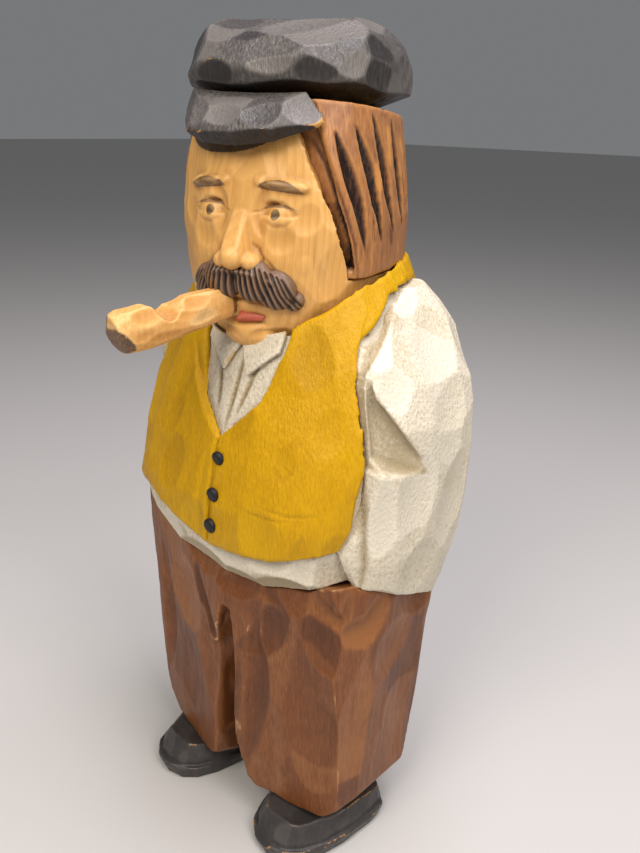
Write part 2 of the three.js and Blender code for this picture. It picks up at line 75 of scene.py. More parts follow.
CUT_FULL = 0.2  # a sharp cut this deep holds all the dirt that it can, mm
HOLLOW_FULL = 0.7  # a broad hollow this deep is darkened fully, as painted shade, mm

# The inputs and the output of a colour mix are known by number, because their names repeat.
SHARE, UNDER, OVER, MIXED = 0, 6, 7, 2
STREAK_SHARE = 0.45  # how much of the mottle comes from streaks; the rest is patches
BRUSH_RELIEF = 0.12  # height of the ridges that the brush leaves, mm
VARNISH_ROUGHNESS = 0.3
WAVE_TURN = 0.314  # a wave of rings turns over once in this many units at scale one

Point = tuple[float, float, float]
Socket = tuple[bpy.types.Node, Any]


# ------------------------------------------------------------------------------------------ places
class Space(Enum):
    """The frame that a piece's cuts are given in."""

    BODY = 0.0
    HEAD = HEAD_TURN

    def matrix(self) -> np.ndarray:
        """Returns the turn about Z from this space to the carver's frame."""
        c, s = math.cos(self.value), math.sin(self.value)
        return np.array([[c, -s, 0.0], [s, c, 0.0], [0.0, 0.0, 1.0]])

    def inwards(self, metres: np.ndarray) -> np.ndarray:
        """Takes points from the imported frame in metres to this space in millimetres.

        Args:
            metres: one point a row.

        Returns:
            The same points here.
        """
        return (metres / MM - [0.0, BLOCK_MIDDLE_Y, 0.0]) @ self.matrix()

    def outwards(self, millimetres: np.ndarray) -> np.ndarray:
        """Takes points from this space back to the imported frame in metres.

        Args:
            millimetres: one point a row.

        Returns:
            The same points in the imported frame.
        """
        return (millimetres @ self.matrix().T + [0.0, BLOCK_MIDDLE_Y, 0.0]) * MM


def mirrored(side: float, *points: Point) -> tuple[Point, ...]:
    """Returns the points on one side of the figure: 1 is the side they are given for, -1 the other."""
    return tuple((side * x, y, z) for x, y, z in points)


def unit(vector: Sequence[float]) -> np.ndarray:
    """Returns the vector at length one."""
    array = np.asarray(vector, float)
    return array / max(float(np.linalg.norm(array)), 1e-12)


# ------------------------------------------------------------------------------------------ paints
def linear(code: str) -> tuple[float, float, float, float]:
    """Turns an sRGB hex colour into the linear colour that a shader wants.

    Args:
        code: six hex digits after a #.

    Returns:
        Red, green, blue and alpha.
    """
    parts = [int(code[i : i + 2], 16) / 255.0 for i in (1, 3, 5)]
    straight = [p / 12.92 if p <= 0.04045 else ((p + 0.055) / 1.055) ** 2.4 for p in parts]
    return (*straight, 1.0)


def add_node(
    tree: bpy.types.NodeTree, kind: str, settings: dict[str, Any], inputs: dict[Any, Any]
) -> bpy.types.Node:
    """Adds one node with its settings and its links.

    Args:
        tree: the material's node tree.
        kind: the node's type name, without the ShaderNode that they all start with.
        settings: attributes of the node.
        inputs: a value, or a (node, output) pair to link from, for each input's name or number.

    Returns:
        The new node.
    """
    node = tree.nodes.new("ShaderNode" + kind)
    for name, value in settings.items():
        setattr(node, name, value)
    for key, value in inputs.items():
        if isinstance(value, tuple) and isinstance(value[0], bpy.types.Node):
            tree.links.new(value[0].outputs[value[1]], node.inputs[key])
        else:
            node.inputs[key].default_value = value
    return node


@dataclass(frozen=True)
class Patterns:
    """A material's tree with the patterns that its colour, shine and relief share."""

    tree: bpy.types.NodeTree
    here: Socket  # the point on the object
    ridge: Socket
    crease: Socket
    tone: Socket
    streaks: Socket
    patches: Socket
    fibres: Socket
    mottle: Socket


@dataclass(frozen=True)
class Finish:
    """What every finish of the figurine shares: hand-brushed colour on knife-cut wood.

    Colours are sRGB hex values. Sizes are millimetres of the real surface.
    """

    name: str
    slot: str
    coat: str
    pale: str
    deep: str
    dirt_and_shade_colour: str
    worn: str
    roughness: float = 0.5
    streak: float = 1.6  # width of a brush or grain streak
    stretch: float = 0.22  # how much a streak is drawn out up the figure
    patch: float = 14.0  # size of the uneven patches left by a hand-mixed paint
    contrast: float = 1.0
    facets: float = 0.35  # how much each knife cut differs in tone
    dirt_and_shade_strength: float = 1.0  # how strongly dirt and wash darken the cuts, and painted shade the hollows
    rubbing: float = 0.0  # how much paint has rubbed off the ridges
    fuzz: float = 0.05  # height of the raised fibres, mm
    fleck: float = 0.3  # how much single fibres show in the colour
    fibre: float = 0.45  # the width of a raised fibre or a fleck
    sheen_streak: float = 0.12  # how unevenly the surface shines
    coat_gloss: float = 0.0
    handled: float = 0.3  # how much lighter the ridges have rubbed
    specular: float = 0.4

    def material(self) -> bpy.types.Material:
        """Returns the finish as a material, made once and shared by its pieces."""
        if self.name in bpy.data.materials:
            return bpy.data.materials[self.name]
        made = bpy.data.materials.new(self.name)
        made.use_nodes = True
        tree = made.node_tree
        tree.nodes.clear()
        out = add_node(tree, "OutputMaterial", {}, {})
        on = self.patterns(tree)
        painted = self.marks(on, self.colour(on))
        look = {
            "Base Color": self.rub(on, self.soil_and_shade(on, self.lighten(on, painted))),
            "Roughness": self.shine(on),
            "Normal": self.relief(on),
            "Specular IOR Level": self.specular,
            "Coat Weight": self.coat_gloss,
            "Coat Roughness": VARNISH_ROUGHNESS,
        }
        shader = add_node(tree, "BsdfPrincipled", {}, look)
        tree.links.new(shader.outputs[0], out.inputs[0])
        return made

    def patterns(self, tree: bpy.types.NodeTree) -> Patterns:
        """Builds the patterns that the colour, the shine and the relief share.

        Args:
            tree: the material's node tree.

        Returns:
            The tree with its patterns and the mesh's attributes.
        """
        here: Socket = (add_node(tree, "TexCoord", {}, {}), "Object")
        ridge, crease, tone = (
            (add_node(tree, "Attribute", {"attribute_name": name}, {}), "Fac")
            for name in ("ridge", "crease", "tone")
        )
        drawn = (add_node(tree, "Mapping", {}, {"Vector": here, "Scale": (1.0, 1.0, self.stretch)}), 0)
        noises = []
        for place, size, detail, rough in (
            (drawn, self.streak, 4.0, 0.65),
            (here, self.patch, 3.0, 0.55),
            (drawn, self.fibre, 2.0, 0.6),
        ):
            grain = {"Vector": place, "Scale": 1.0 / (size * MM), "Detail": detail, "Roughness": rough}
            noises.append((add_node(tree, "TexNoise", {}, grain), 0))
        streaks, patches, fibres = noises
        brushed = add_node(tree, "Mix", {"data_type": "FLOAT"}, {0: STREAK_SHARE, 2: patches, 3: streaks})
        mottle = add_node(tree, "Mix", {"data_type": "FLOAT"}, {0: self.fleck, 2: (brushed, 0), 3: fibres})
        return Patterns(tree, here, ridge, crease, tone, streaks, patches, fibres, (mottle, 0))

    def colour(self, on: Patterns) -> Socket:
        """Builds the colour: deep, full or pale by the cut's tone and the mottle of the brush.

        Args:
            on: the material's tree and patterns.

        Returns:
            The colour socket.
        """
        steps = {0: on.tone, 1: self.facets, 2: on.mottle}
        weights = add_node(on.tree, "Math", {"operation": "MULTIPLY_ADD"}, steps)
        ramp = add_node(on.tree, "ValToRGB", {}, {"Fac": (weights, 0)})
        middle, spread = 0.5 + 0.5 * self.facets, 0.3 / self.contrast
        low, high = ramp.color_ramp.elements
        low.position, low.color = max(0.0, middle - spread), linear(self.deep)
        high.position, high.color = min(1.0, middle + spread), linear(self.pale)
        ramp.color_ramp.elements.new(middle).color = linear(self.coat)
        return (ramp, "Color")

    def marks(self, on: Patterns, colour: Socket) -> Socket:
        """Returns the colour with any painted marks on it; most finishes have none."""
        return colour

    def lighten(self, on: Patterns, colour: Socket) -> Socket:
        """Rubs the ridges between the cuts lighter.

        Args:
            on: the material's tree and patterns.
            colour: the even colour.

        Returns:
            The rubbed colour.
        """
        rubbed = {0: on.ridge, 1: self.handled}
        share = add_node(on.tree, "Math", {"operation": "MULTIPLY", "use_clamp": True}, rubbed)
        layers = {SHARE: (share, 0), UNDER: colour, OVER: linear(self.pale)}
        return (add_node(on.tree, "Mix", {"data_type": "RGBA"}, layers), MIXED)

    def soil_and_shade(self, on: Patterns, colour: Socket) -> Socket:
        """Darkens the cuts in a stipple: dirt and thinned wash in the sharp cuts, painted shade in broad
        hollows and in cuts toned below nought.

        Args:
            on: the material's tree and patterns.
            colour: the clean colour.

        Returns:
            The colour with its dirt and painted shade.
        """
        thin, thick = 0.3 * self.dirt_and_shade_strength, 1.7 * self.dirt_and_shade_strength
        dots = {"Value": on.fibres, "From Min": 0.3, "From Max": 0.7, "To Min": thin, "To Max": thick}
        stipple = add_node(on.tree, "MapRange", {}, dots)
        darkened = {0: on.crease, 1: (stipple, 0)}
        share = add_node(on.tree, "Math", {"operation": "MULTIPLY", "use_clamp": True}, darkened)
        layers = {SHARE: (share, 0), UNDER: colour, OVER: linear(self.dirt_and_shade_colour)}
        return (add_node(on.tree, "Mix", {"data_type": "RGBA"}, layers), MIXED)

    def rub(self, on: Patterns, colour: Socket) -> Socket:
        """Rubs the paint off the sharpest ridges, in flecks.

        Args:
            on: the material's tree and patterns.
            colour: the unworn colour.

        Returns:
            The worn colour.
        """
        if self.rubbing <= 0.0:
            return colour
        level = add_node(on.tree, "Math", {"operation": "MULTIPLY"}, {0: on.ridge, 1: on.patches})
        torn = {0: on.fibres, 1: 0.35, 2: (level, 0)}
        flecks = add_node(on.tree, "Math", {"operation": "MULTIPLY_ADD"}, torn)
        start = 0.74 - 0.22 * self.rubbing
        edge = {"Value": (flecks, 0), "From Min": start, "From Max": start + 0.05}
        gone = add_node(on.tree, "MapRange", {}, edge)
        layers = {SHARE: (gone, 0), UNDER: colour, OVER: linear(self.worn)}
        return (add_node(on.tree, "Mix", {"data_type": "RGBA"}, layers), MIXED)

    def shine(self, on: Patterns) -> Socket:
        """Builds the roughness: duller where fibres stand up, shinier where the brush laid thick.

        Args:
            on: the material's tree and patterns.

        Returns:
            The roughness socket.
        """
        dull, bright = self.roughness + self.sheen_streak, self.roughness - self.sheen_streak
        laid = {"Value": on.streaks, "From Min": 0.3, "From Max": 0.7, "To Min": dull, "To Max": bright}
        return (add_node(on.tree, "MapRange", {}, laid), 0)

    def relief(self, on: Patterns) -> Socket:
        """Builds the small relief: raised fibres and the brush's own ridges.

        Args:
            on: the material's tree and patterns.

        Returns:
            The normal socket.
        """
        laid = {"Height": on.streaks, "Distance": BRUSH_RELIEF * MM, "Strength": 0.6}
        brushed = add_node(on.tree, "Bump", {}, laid)
        hairs = {"Height": on.fibres, "Distance": self.fuzz * MM, "Strength": 1.0, "Normal": (brushed, 0)}
        return (add_node(on.tree, "Bump", {}, hairs), 0)


@dataclass(frozen=True)
class RingedWood(Finish):
    """Knife-cut wood with no paint: growth rings show as nested lines where a cut crosses them."""

    ring: float = 1.7  # spacing of the growth rings
    heart: Point = (-22.0, 40.0, 0.0)  # where the tree's middle lies, beside the block, mm
    tilt: float = 0.07
    ring_strength: float = 0.28
    painted: bool = False  # whether the face's marks are painted on it

    def colour(self, on: Patterns) -> Socket:
        """Adds dark late-wood lines to the shared colour.

        Args:
            on: the material's tree and patterns.

        Returns:
            The colour socket.
        """
        base = super().colour(on)
        heart, turn = tuple(c * MM for c in self.heart), (self.tilt, self.tilt * 0.6, 0.0)
        placed = add_node(on.tree, "Mapping", {}, {"Vector": on.here, "Location": heart, "Rotation": turn})
        rings = add_node(
            on.tree,
            "TexWave",
            {"wave_type": "RINGS", "rings_direction": "Z", "wave_profile": "SAW"},
            {
                "Vector": (placed, 0), "Scale": WAVE_TURN / (self.ring * MM), "Distortion": 2.2,
                "Detail": 2.0, "Detail Scale": 0.35, "Detail Roughness": 0.5,
            },
        )
        late = add_node(on.tree, "ValToRGB", {}, {"Fac": (rings, "Fac")})
        early, dark = late.color_ramp.elements
        early.position, early.color = 0.35, (0.0, 0.0, 0.0, 1.0)
        dark.position, dark.color = 0.97, (self.ring_strength,) * 3 + (1.0,)
        layers = {SHARE: (late, "Color"), UNDER: base, OVER: linear(self.deep)}
        return (add_node(on.tree, "Mix", {"data_type": "RGBA"}, layers), MIXED)

    def marks(self, on: Patterns, colour: Socket) -> Socket:
        """Paints the cap's edge, the brows and the eyes on the face.

        Args:
            on: the material's tree and patterns.
            colour: the bare wood.

        Returns:
            The painted colour.
        """
        for mark in FACE_MARKS if self.painted else ():
            edge = add_node(on.tree, "Attribute", {"attribute_name": mark.name}, {})
            uneven = {0: on.fibres, 1: -mark.ragged, 2: (edge, "Fac")}
            ragged = add_node(on.tree, "Math", {"operation": "MULTIPLY_ADD"}, uneven)
            outside, inside = -0.5 * mark.ragged + mark.soft, -0.5 * mark.ragged - mark.soft
            border = {"Value": (ragged, 0), "From Min": outside, "From Max": inside, "To Max": mark.cover}
            cover = add_node(on.tree, "MapRange", {"interpolation_type": "SMOOTHSTEP"}, border)
            layers = {SHARE: (cover, 0), UNDER: colour, OVER: linear(mark.colour)}
            colour = (add_node(on.tree, "Mix", {"data_type": "RGBA"}, layers), MIXED)
        return colour


@dataclass(frozen=True)
class FaceMark:
    """One painted mark on the face: an ellipse or a bent stroke, mostly one on each side."""

    name: str
    colour: str
    middle: tuple[float, float]  # x and z from the face's own centre line, mm
    half: tuple[float, float]  # half its length and half its height, mm
    tilt: float = 0.0
    bend: float = 0.0  # how far the ends drop below the middle, mm
    ragged: float = 0.25  # how unevenly the brush edge runs, mm
    soft: float = 0.12
    cover: float = 0.9
    mirrored: bool = True

    def distance(self, points: np.ndarray) -> np.ndarray:
        """Gives each point's distance from the mark's edge, below nought inside it.

        Args:
            points: one point a row, in the head's space.

        Returns:
            The distances in millimetres.
        """
        x = np.abs(points[:, 0]) if self.mirrored else points[:, 0]
        u, v = x - self.middle[0], points[:, 2] - self.middle[1]
        c, s = math.cos(self.tilt), math.sin(self.tilt)
        u, v = u * c + v * s, v * c - u * s
        v = v + self.bend * (u / self.half[0]) ** 2
        scaled = np.hypot(u / self.half[0], v / self.half[1])
        distance = (scaled - 1.0) * min(self.half)
        return np.where(points[:, 1] < 0.0, distance, 9.0)


FACE_MARKS: tuple[FaceMark, ...] = (
    FaceMark("mark_cap_edge", "#1f1c1b", (-5.0, 213.0), (15.0, 5.4), tilt=0.09, ragged=0.9, mirrored=False),
    FaceMark("mark_brow", "#4f3426", (10.8, 200.4), (5.6, 1.35), tilt=-0.1, bend=0.9, ragged=0.5),
    FaceMark("mark_lid", "#6b5444", (10.4, 195.6), (4.8, 0.45), bend=1.0, soft=0.1, cover=0.75),
    FaceMark("mark_iris", "#33261f", (9.8, 193.5), (1.25, 1.35), soft=0.08),
)


# Yellow ochre house paint, brushed on by hand: even colour, soft satin, fibres and dabs showing.
YELLOW = Finish(
    "brushed_yellow_paint", "yellow_paint", coat="#bf9000", pale="#d0a406", deep="#a27800",
    dirt_and_shade_colour="#6b4e0c", worn="#d8b070", patch=9.0, contrast=0.9, facets=0.32, dirt_and_shade_strength=0.75,
    fuzz=0.28, fleck=0.5, fibre=0.6, handled=0.45, specular=0.25,
)
# Off-white paint over bare wood, wiped with a grey-brown wash that stays in every cut; its hollows and the
# flats that face down carry painted shade.
WHITE = Finish(
    "washed_white_paint", "white_paint", coat="#d2c9b5", pale="#dcd4c2", deep="#b6a88b",
    dirt_and_shade_colour="#86724c", worn="#cbb083", roughness=0.52, stretch=0.7, patch=10.0, contrast=1.3,
    facets=0.55, dirt_and_shade_strength=1.2, rubbing=0.22, fuzz=0.38, fleck=0.6, fibre=0.8, specular=0.35,
)
# Red-brown paint thinned until the grain shows: each knife cut dries to its own tone.
BROWN = Finish(
    "thinned_brown_paint", "brown_paint", coat="#76441f", pale="#935f35", deep="#572f15",
    dirt_and_shade_colour="#3d2418", worn="#b08358", roughness=0.47, streak=1.9, stretch=0.12, patch=11.0,
    contrast=1.15, facets=0.5, dirt_and_shade_strength=0.5, rubbing=0.3, fuzz=0.09, fleck=0.5,
    sheen_streak=0.1, handled=0.5,
)
# Satin black paint, greyed by handling and lightened on the upward cuts as painted sheen, with bare wood
# showing where the edges are chipped; its undercuts carry painted shadow.
BLACK = Finish(
    "rubbed_black_paint", "black_paint", coat="#4f4b49", pale="#68635f", deep="#2f2c2b",
    dirt_and_shade_colour="#171616", worn="#b98b4c", roughness=0.43, patch=12.0, contrast=1.2, facets=0.7,
    dirt_and_shade_strength=0.8, rubbing=0.75, fuzz=0.28, fleck=0.6, fibre=0.7, sheen_streak=0.14, handled=0.6,
)
# The same black on the shoes, where it was laid on once and hardly handled.
BLACK_SHOE = Finish(
    "satin_black_paint", "black_paint", coat="#383534", pale="#4b4745", deep="#252222",
    dirt_and_shade_colour="#141313", worn="#a87c44", roughness=0.42, patch=12.0, contrast=0.8, facets=0.6,
    dirt_and_shade_strength=0.8, rubbing=0.55, handled=0.5,
)
# The same black as thick dots dropped from the brush: smooth, even and unworn.
BLACK_DOT = Finish(
    "dropped_black_paint", "black_paint", coat="#19181b", pale="#222126", deep="#121115",
    dirt_and_shade_colour="#101012", worn="#232227", patch=3.0, facets=0.2, fuzz=0.06, specular=0.3,
)
# Brown stain under varnish: orange where it is thin, dark where the knife opened the grain.
HAIR_STAIN = Finish(
    "stained_hair_wood", "hair_stain", coat="#9c6a42", pale="#c78a4a", deep="#683f27",
    dirt_and_shade_colour="#1c110c", worn="#a8713c", roughness=0.4, streak=1.3, stretch=0.1, patch=8.0,
    contrast=1.4, facets=0.5, dirt_and_shade_strength=1.5, fleck=0.45, fibre=0.6, coat_gloss=0.1, handled=0.5,
)
# The darkest stain, laid thick in the flutes of the moustache and thin on their ridges.
MOUSTACHE_STAIN = Finish(
    "stained_moustache_wood", "moustache_stain", coat="#624736", pale="#94785f", deep="#302017",
    dirt_and_shade_colour="#150d0a", worn="#8a6648", roughness=0.4, streak=0.8, stretch=0.3, patch=5.0,
    facets=0.4, dirt_and_shade_strength=1.2, rubbing=0.25, fuzz=0.04, coat_gloss=0.1, handled=0.6,
)
# A touch of thin red on bare wood.
RED = Finish(
    "thin_red_paint", "red_paint", coat="#ae4f38", pale="#c0664a", deep="#86392a",
    dirt_and_shade_colour="#5a2a22", worn="#b98052", roughness=0.42, streak=0.8, patch=3.0,
)
# Pale wood under satin varnish, such as lime or poplar: smooth, warm, rings showing on every flat.
FACE_WOOD = RingedWood(
    "varnished_face_wood", "varnished_wood", coat="#d9a55c", pale="#e8bd7c", deep="#b37c38",
    dirt_and_shade_colour="#7a4f22", worn="#e0b57c", roughness=0.42, streak=1.2, stretch=0.08, patch=18.0,
    contrast=0.7, facets=0.25, dirt_and_shade_strength=0.7, fuzz=0.018, sheen_streak=0.06, coat_gloss=0.06,
    handled=0.35, painted=True,
)
# The same wood with no varnish, drier and paler.
PIPE_WOOD = RingedWood(
    "bare_pipe_wood", "bare_wood", coat="#d9a35c", pale="#e8bf82", deep="#b87c3a",
    dirt_and_shade_colour="#5c4839", worn="#e6c08c", streak=0.9, stretch=0.5, patch=8.0, contrast=0.8,
    facets=0.7, dirt_and_shade_strength=1.1, fuzz=0.03, handled=0.5, ring=1.6, ring_strength=0.22,
)


# ------------------------------------------------------------------------------------- knife work
@dataclass(frozen=True)
class Scoop:
    """One shallow cut that leaves a hollow flat: a knife stroke, or the sweep of a gouge."""

    at: Point
    facing: Point
    depth: float  # below the point it is given at, mm
    along: float = 120.0  # radius of the hollow along the stroke; large is flat
    across: float = 70.0
    stroke: Point = (0.0, 0.0, 1.0)
    reach: float = 1.7  # how many half widths the knife runs on before it is lifted
    clear: float = 3.0  # wood that stands higher than this over the cut is left alone
    tone: Optional[float] = None


@dataclass(frozen=True)
class Chip:
    """One three-cornered cut: it starts along an edge and is deepest at the corner facing it."""

    start: Point
    end: Point
    deep: Point
    depth: float
    inwards: Point
    edge: float = 0.08  # the share of the chip over which its walls slope
    clear: float = 9.0
    tone: Optional[float] = None


@dataclass(frozen=True)
class Groove:
    """One cut drawn along a line: a V of the knife point, or a softer fold."""

    path: tuple[Point, ...]
    width: float
    depth: float
    inwards: Point
    taper: float = 0.8  # below one the cut stays wide to its ends
    soft: bool = False
    tone: Optional[float] = 0.2


# The armhole's edge, as (height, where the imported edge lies, where the carved edge lies), mm.
# The last two are distances round the trunk, along ARMHOLE_WAY, that grow towards the back.
ARMHOLE: tuple[Point, ...] = (
    (96, 22, 22),
    (106, 22.4, 18.6),
    (110, 22.4, 19),
    (114.3, 22.1, 21.2),
    (123.2, 21.5, 22.9),
    (130.2, 20.5, 24.4),
    (133.7, 20.1, 24.6),
    (137.8, 18.5, 23.7),
    (142.6, 16.2, 22.9),
    (148.4, 14.8, 22),
    (152.5, 15.3, 21.2),
    (155.5, 16.2, 21),
    (159, 17.7, 21.2),
    (163.3, 19.8, 23.1),
    (168.4, 23.5, 25.7),
    (173, 27.5, 29.3),
    (182, 32, 33),
)
ARMHOLE_WAY = (0.78, 0.62)
ARMHOLE_SPREAD = 14.0  # how far ahead of the edge the vest is stretched, mm
ARMHOLE_SQUEEZE = 10.5  # how far behind it the sleeve is squeezed, mm
ARMHOLE_BACK = 15.0  # nothing further back than this is moved, mm
TUCK = 1.6  # how much of the sleeve's edge lies under the vest, mm


@dataclass(frozen=True)
class Lump:
    """Wood left standing in a region before the knife work: a squashed ball, tilted if need be."""

    at: Point
    radii: Point
    turn: Point = (0.0, 0.0, 0.0)  # degrees about X, Y and Z


class Carving:
    """One region of the block as a fine closed mesh, with the cuts that shape it."""

    def __init__(
        self,
        name: str,
        nodes: Sequence[str],
        fineness: float,
        space: Space = Space.BODY,
        swell: float = 0.15,
        lumps: Sequence[Lump] = (),
    ) -> None:
        """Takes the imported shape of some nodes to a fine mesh.

        Args:
            name: the new piece's name.
            nodes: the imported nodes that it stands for.
            fineness: the mesh's grid in millimetres.
            space: the frame that its cuts are given in.
            swell: how far the region is grown, so that neighbours meet with no gap, mm.
            lumps: wood to add to the shape first.
        """
        self.name, self.nodes, self.space = name, list(nodes), space
        self.grid = fineness * 1.0
        block = self._joined(lumps)
        holder = bpy.data.objects.new(name + "_block", block)
        bpy.context.scene.collection.objects.link(holder)
        remesh = holder.modifiers.new("grid", "REMESH")
        remesh.mode, remesh.voxel_size, remesh.adaptivity = "VOXEL", self.grid * MM, 0.0
        ready = holder.evaluated_get(bpy.context.evaluated_depsgraph_get())
        self.mesh = bpy.data.meshes.new_from_object(ready)
        self.mesh.name = name
        bpy.data.objects.remove(holder)
        bpy.data.meshes.remove(block)
        count = len(self.mesh.vertices)
        flat = np.empty(count * 3)
        self.mesh.vertices.foreach_get("co", flat)
        self.points = space.inwards(flat.reshape(-1, 3))
        corners = np.empty(len(self.mesh.loops), np.int64)
        self.mesh.loops.foreach_get("vertex_index", corners)
        self.faces = corners.reshape(-1, 4)
        pairs = np.empty(len(self.mesh.edges) * 2, np.int64)
        self.mesh.edges.foreach_get("vertices", pairs)
        self.pairs = pairs.reshape(-1, 2)
        self.degree = np.bincount(pairs, minlength=count).astype(float)
        self.tone = np.full(count, 0.5)
        self.extra: dict[str, np.ndarray] = {}
        if swell:
            self.points += self.normals() * swell

    def _joined(self, lumps: Sequence[Lump]) -> bpy.types.Mesh:
        """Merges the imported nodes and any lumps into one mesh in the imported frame.

        Args:
            lumps: wood to add.

        Returns:
            The joined mesh.
        """
        form = bmesh.new()
        for node in self.nodes:
            form.from_mesh(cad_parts[node].data)
        bmesh.ops.remove_doubles(form, verts=form.verts, dist=WELD * MM)
        turn = self.space.matrix()
        for lump in lumps:
            made = bmesh.ops.create_icosphere(form, subdivisions=4, radius=1.0)["verts"]
            tilt = Matrix.Identity(4)
            for angle, axis in zip(reversed(lump.turn), "ZYX"):
                tilt @= Matrix.Rotation(math.radians(angle), 4, axis)
            bmesh.ops.scale(form, vec=Vector(lump.radii) * MM, verts=made)
            bmesh.ops.transform(form, matrix=tilt, verts=made)
            bmesh.ops.transform(form, matrix=Matrix(turn.tolist()).to_4x4(), verts=made)
            place = self.space.outwards(np.array([lump.at]))[0]
            bmesh.ops.translate(form, vec=Vector(place), verts=made)
        mesh = bpy.data.meshes.new(self.name + "_block")
        form.to_mesh(mesh)
        form.free()
        return mesh

    def normals(self) -> np.ndarray:
        """Returns the outward direction at each point."""
        a, b, c, d = (self.points[self.faces[:, k]] for k in range(4))
        facing = np.cross(c - a, d - b)
        total = np.zeros_like(self.points)
        for k in range(4):
            for axis in range(3):
                total[:, axis] += np.bincount(self.faces[:, k], facing[:, axis], len(total))
        return total / np.maximum(np.linalg.norm(total, axis=1, keepdims=True), 1e-12)

    def blurred(self, values: np.ndarray, times: int) -> np.ndarray:
        """Averages values with their neighbours' over the mesh.

        Args:
            values: one row, or one number, for each point.
            times: how many passes.

        Returns:
            The blurred values.
        """
        rows = values.reshape(len(values), -1).astype(float)
        first, second = self.pairs[:, 0], self.pairs[:, 1]
        for _ in range(times):
            total = rows.copy()
            for k in range(rows.shape[1]):
                total[:, k] += np.bincount(first, rows[second, k], len(rows))
                total[:, k] += np.bincount(second, rows[first, k], len(rows))
            rows = total / (self.degree + 1.0)[:, None]
        return rows.reshape(values.shape)

    def skin(self, at: Sequence[float], facing: np.ndarray) -> np.ndarray:
        """Finds the surface over or under a point.

        Args:
            at: the point, within a few millimetres of the surface.
            facing: the direction to look along.

        Returns:
            The outermost surface point on that line, or the given point if there is none.
        """
        offset = self.points - np.asarray(at, float)
        h = offset @ facing
        aside = np.linalg.norm(offset - np.outer(h, facing), axis=1)
        near = np.flatnonzero((aside < 1.2 * self.grid) & (np.abs(h) < SNAP_REACH))
        lift = float(h[near].max()) if len(near) else 0.0
        return np.asarray(at, float) + lift * facing

    def scoop(self, cut: Scoop) -> None:
        """Makes one shallow cut.

        Args:
            cut: where it is and how it runs.
        """
        n = unit(cut.facing)
        t = np.asarray(cut.stroke, float)
        t = unit(t - n * float(t @ n))
        s = np.cross(n, t)
        offset = self.points - self.skin(cut.at, n)
        h, u, v = offset @ n, offset @ t, offset @ s
        limit = -cut.depth + u * u / (2.0 * cut.along) + v * v / (2.0 * cut.across)
        half_u = math.sqrt(2.0 * cut.along * cut.depth) * cut.reach
        half_v = math.sqrt(2.0 * cut.across * cut.depth) * cut.reach
        fade = np.clip((half_u - np.abs(u)) / (LIFT * half_u), 0.0, 1.0)
        fade *= np.clip((half_v - np.abs(v)) / (LIFT * half_v), 0.0, 1.0)
        fade *= np.clip((cut.clear - h) / (0.5 * cut.clear), 0.0, 1.0)
        waste = np.maximum(h - limit, 0.0) * fade
        hit = waste > LEAST_CUT
        self.points[hit] -= waste[hit, None] * n
        if cut.tone is not None:
            self.tone[hit] = cut.tone

    def chip(self, cut: Chip) -> None:
        """Cuts a three-cornered chip out: nothing along one edge, deepest at the far corner.

        Args:
            cut: its corners, depth and direction.
        """
        inwards = unit(cut.inwards)
        a, b, c = (np.asarray(p, float) for p in (cut.start, cut.end, cut.deep))
        spans = (b - a, c - a, self.points - a)
        ab, ac, offset = (v - np.multiply.outer(v @ inwards, inwards) for v in spans)
        grid = np.array([[ab @ ab, ab @ ac], [ab @ ac, ac @ ac]])
        share = np.linalg.solve(grid, np.stack((offset @ ab, offset @ ac)))
        rest = 1.0 - share.sum(0)
        inside = np.minimum(np.minimum(share[0], share[1]), rest)
        away = np.abs((self.points - (a + b + c) / 3.0) @ inwards)
        push = cut.depth * share[1] * np.clip(inside / cut.edge, 0.0, 1.0) * (away < cut.clear)
        hit = push > LEAST_CUT
        self.points[hit] += push[hit, None] * inwards
        if cut.tone is not None:
            self.tone[hit] = cut.tone

    def gap_to(self, *nodes: str) -> np.ndarray:
        """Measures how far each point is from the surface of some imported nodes.

        Args:
            nodes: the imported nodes' names.

        Returns:
            The distances in millimetres.
        """
        form = bmesh.new()
        for node in nodes:
            form.from_mesh(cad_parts[node].data)
        tree = BVHTree.FromBMesh(form)
        form.free()
        placed = self.space.outwards(self.points)
        return np.array([tree.find_nearest(p)[3] for p in placed.tolist()]) / MM

    def trench(self, gap: np.ndarray, width: float, depth: float) -> None:
        """Cuts the surface down along its border with its neighbours, as a knife line does.

        Args:
            gap: each point's distance from the neighbours, mm.
            width: how far from them the cut reaches, mm.
            depth: how deep it is at the border, mm.
        """
        share = np.clip((width - gap) / width, 0.0, 1.0) * self.outer()
        self.points -= self.normals() * (self.blurred(share, 1) * depth)[:, None]

    def outer(self) -> np.ndarray:
        """Returns True for each point whose surface faces away from the block's middle."""
        radial = self.points * [1.0, 1.0, 0.0]
        return (self.normals() * radial).sum(1) > 0.1 * np.linalg.norm(radial, axis=1)

    def ease(self, where: np.ndarray, times: int) -> None:
        """Smooths part of the surface.

        Args:
            where: how far a pass takes each point, from 0 to 1.
            times: how many passes.
        """
        for _ in range(times):
            self.points += (self.blurred(self.points, 1) - self.points) * where[:, None]

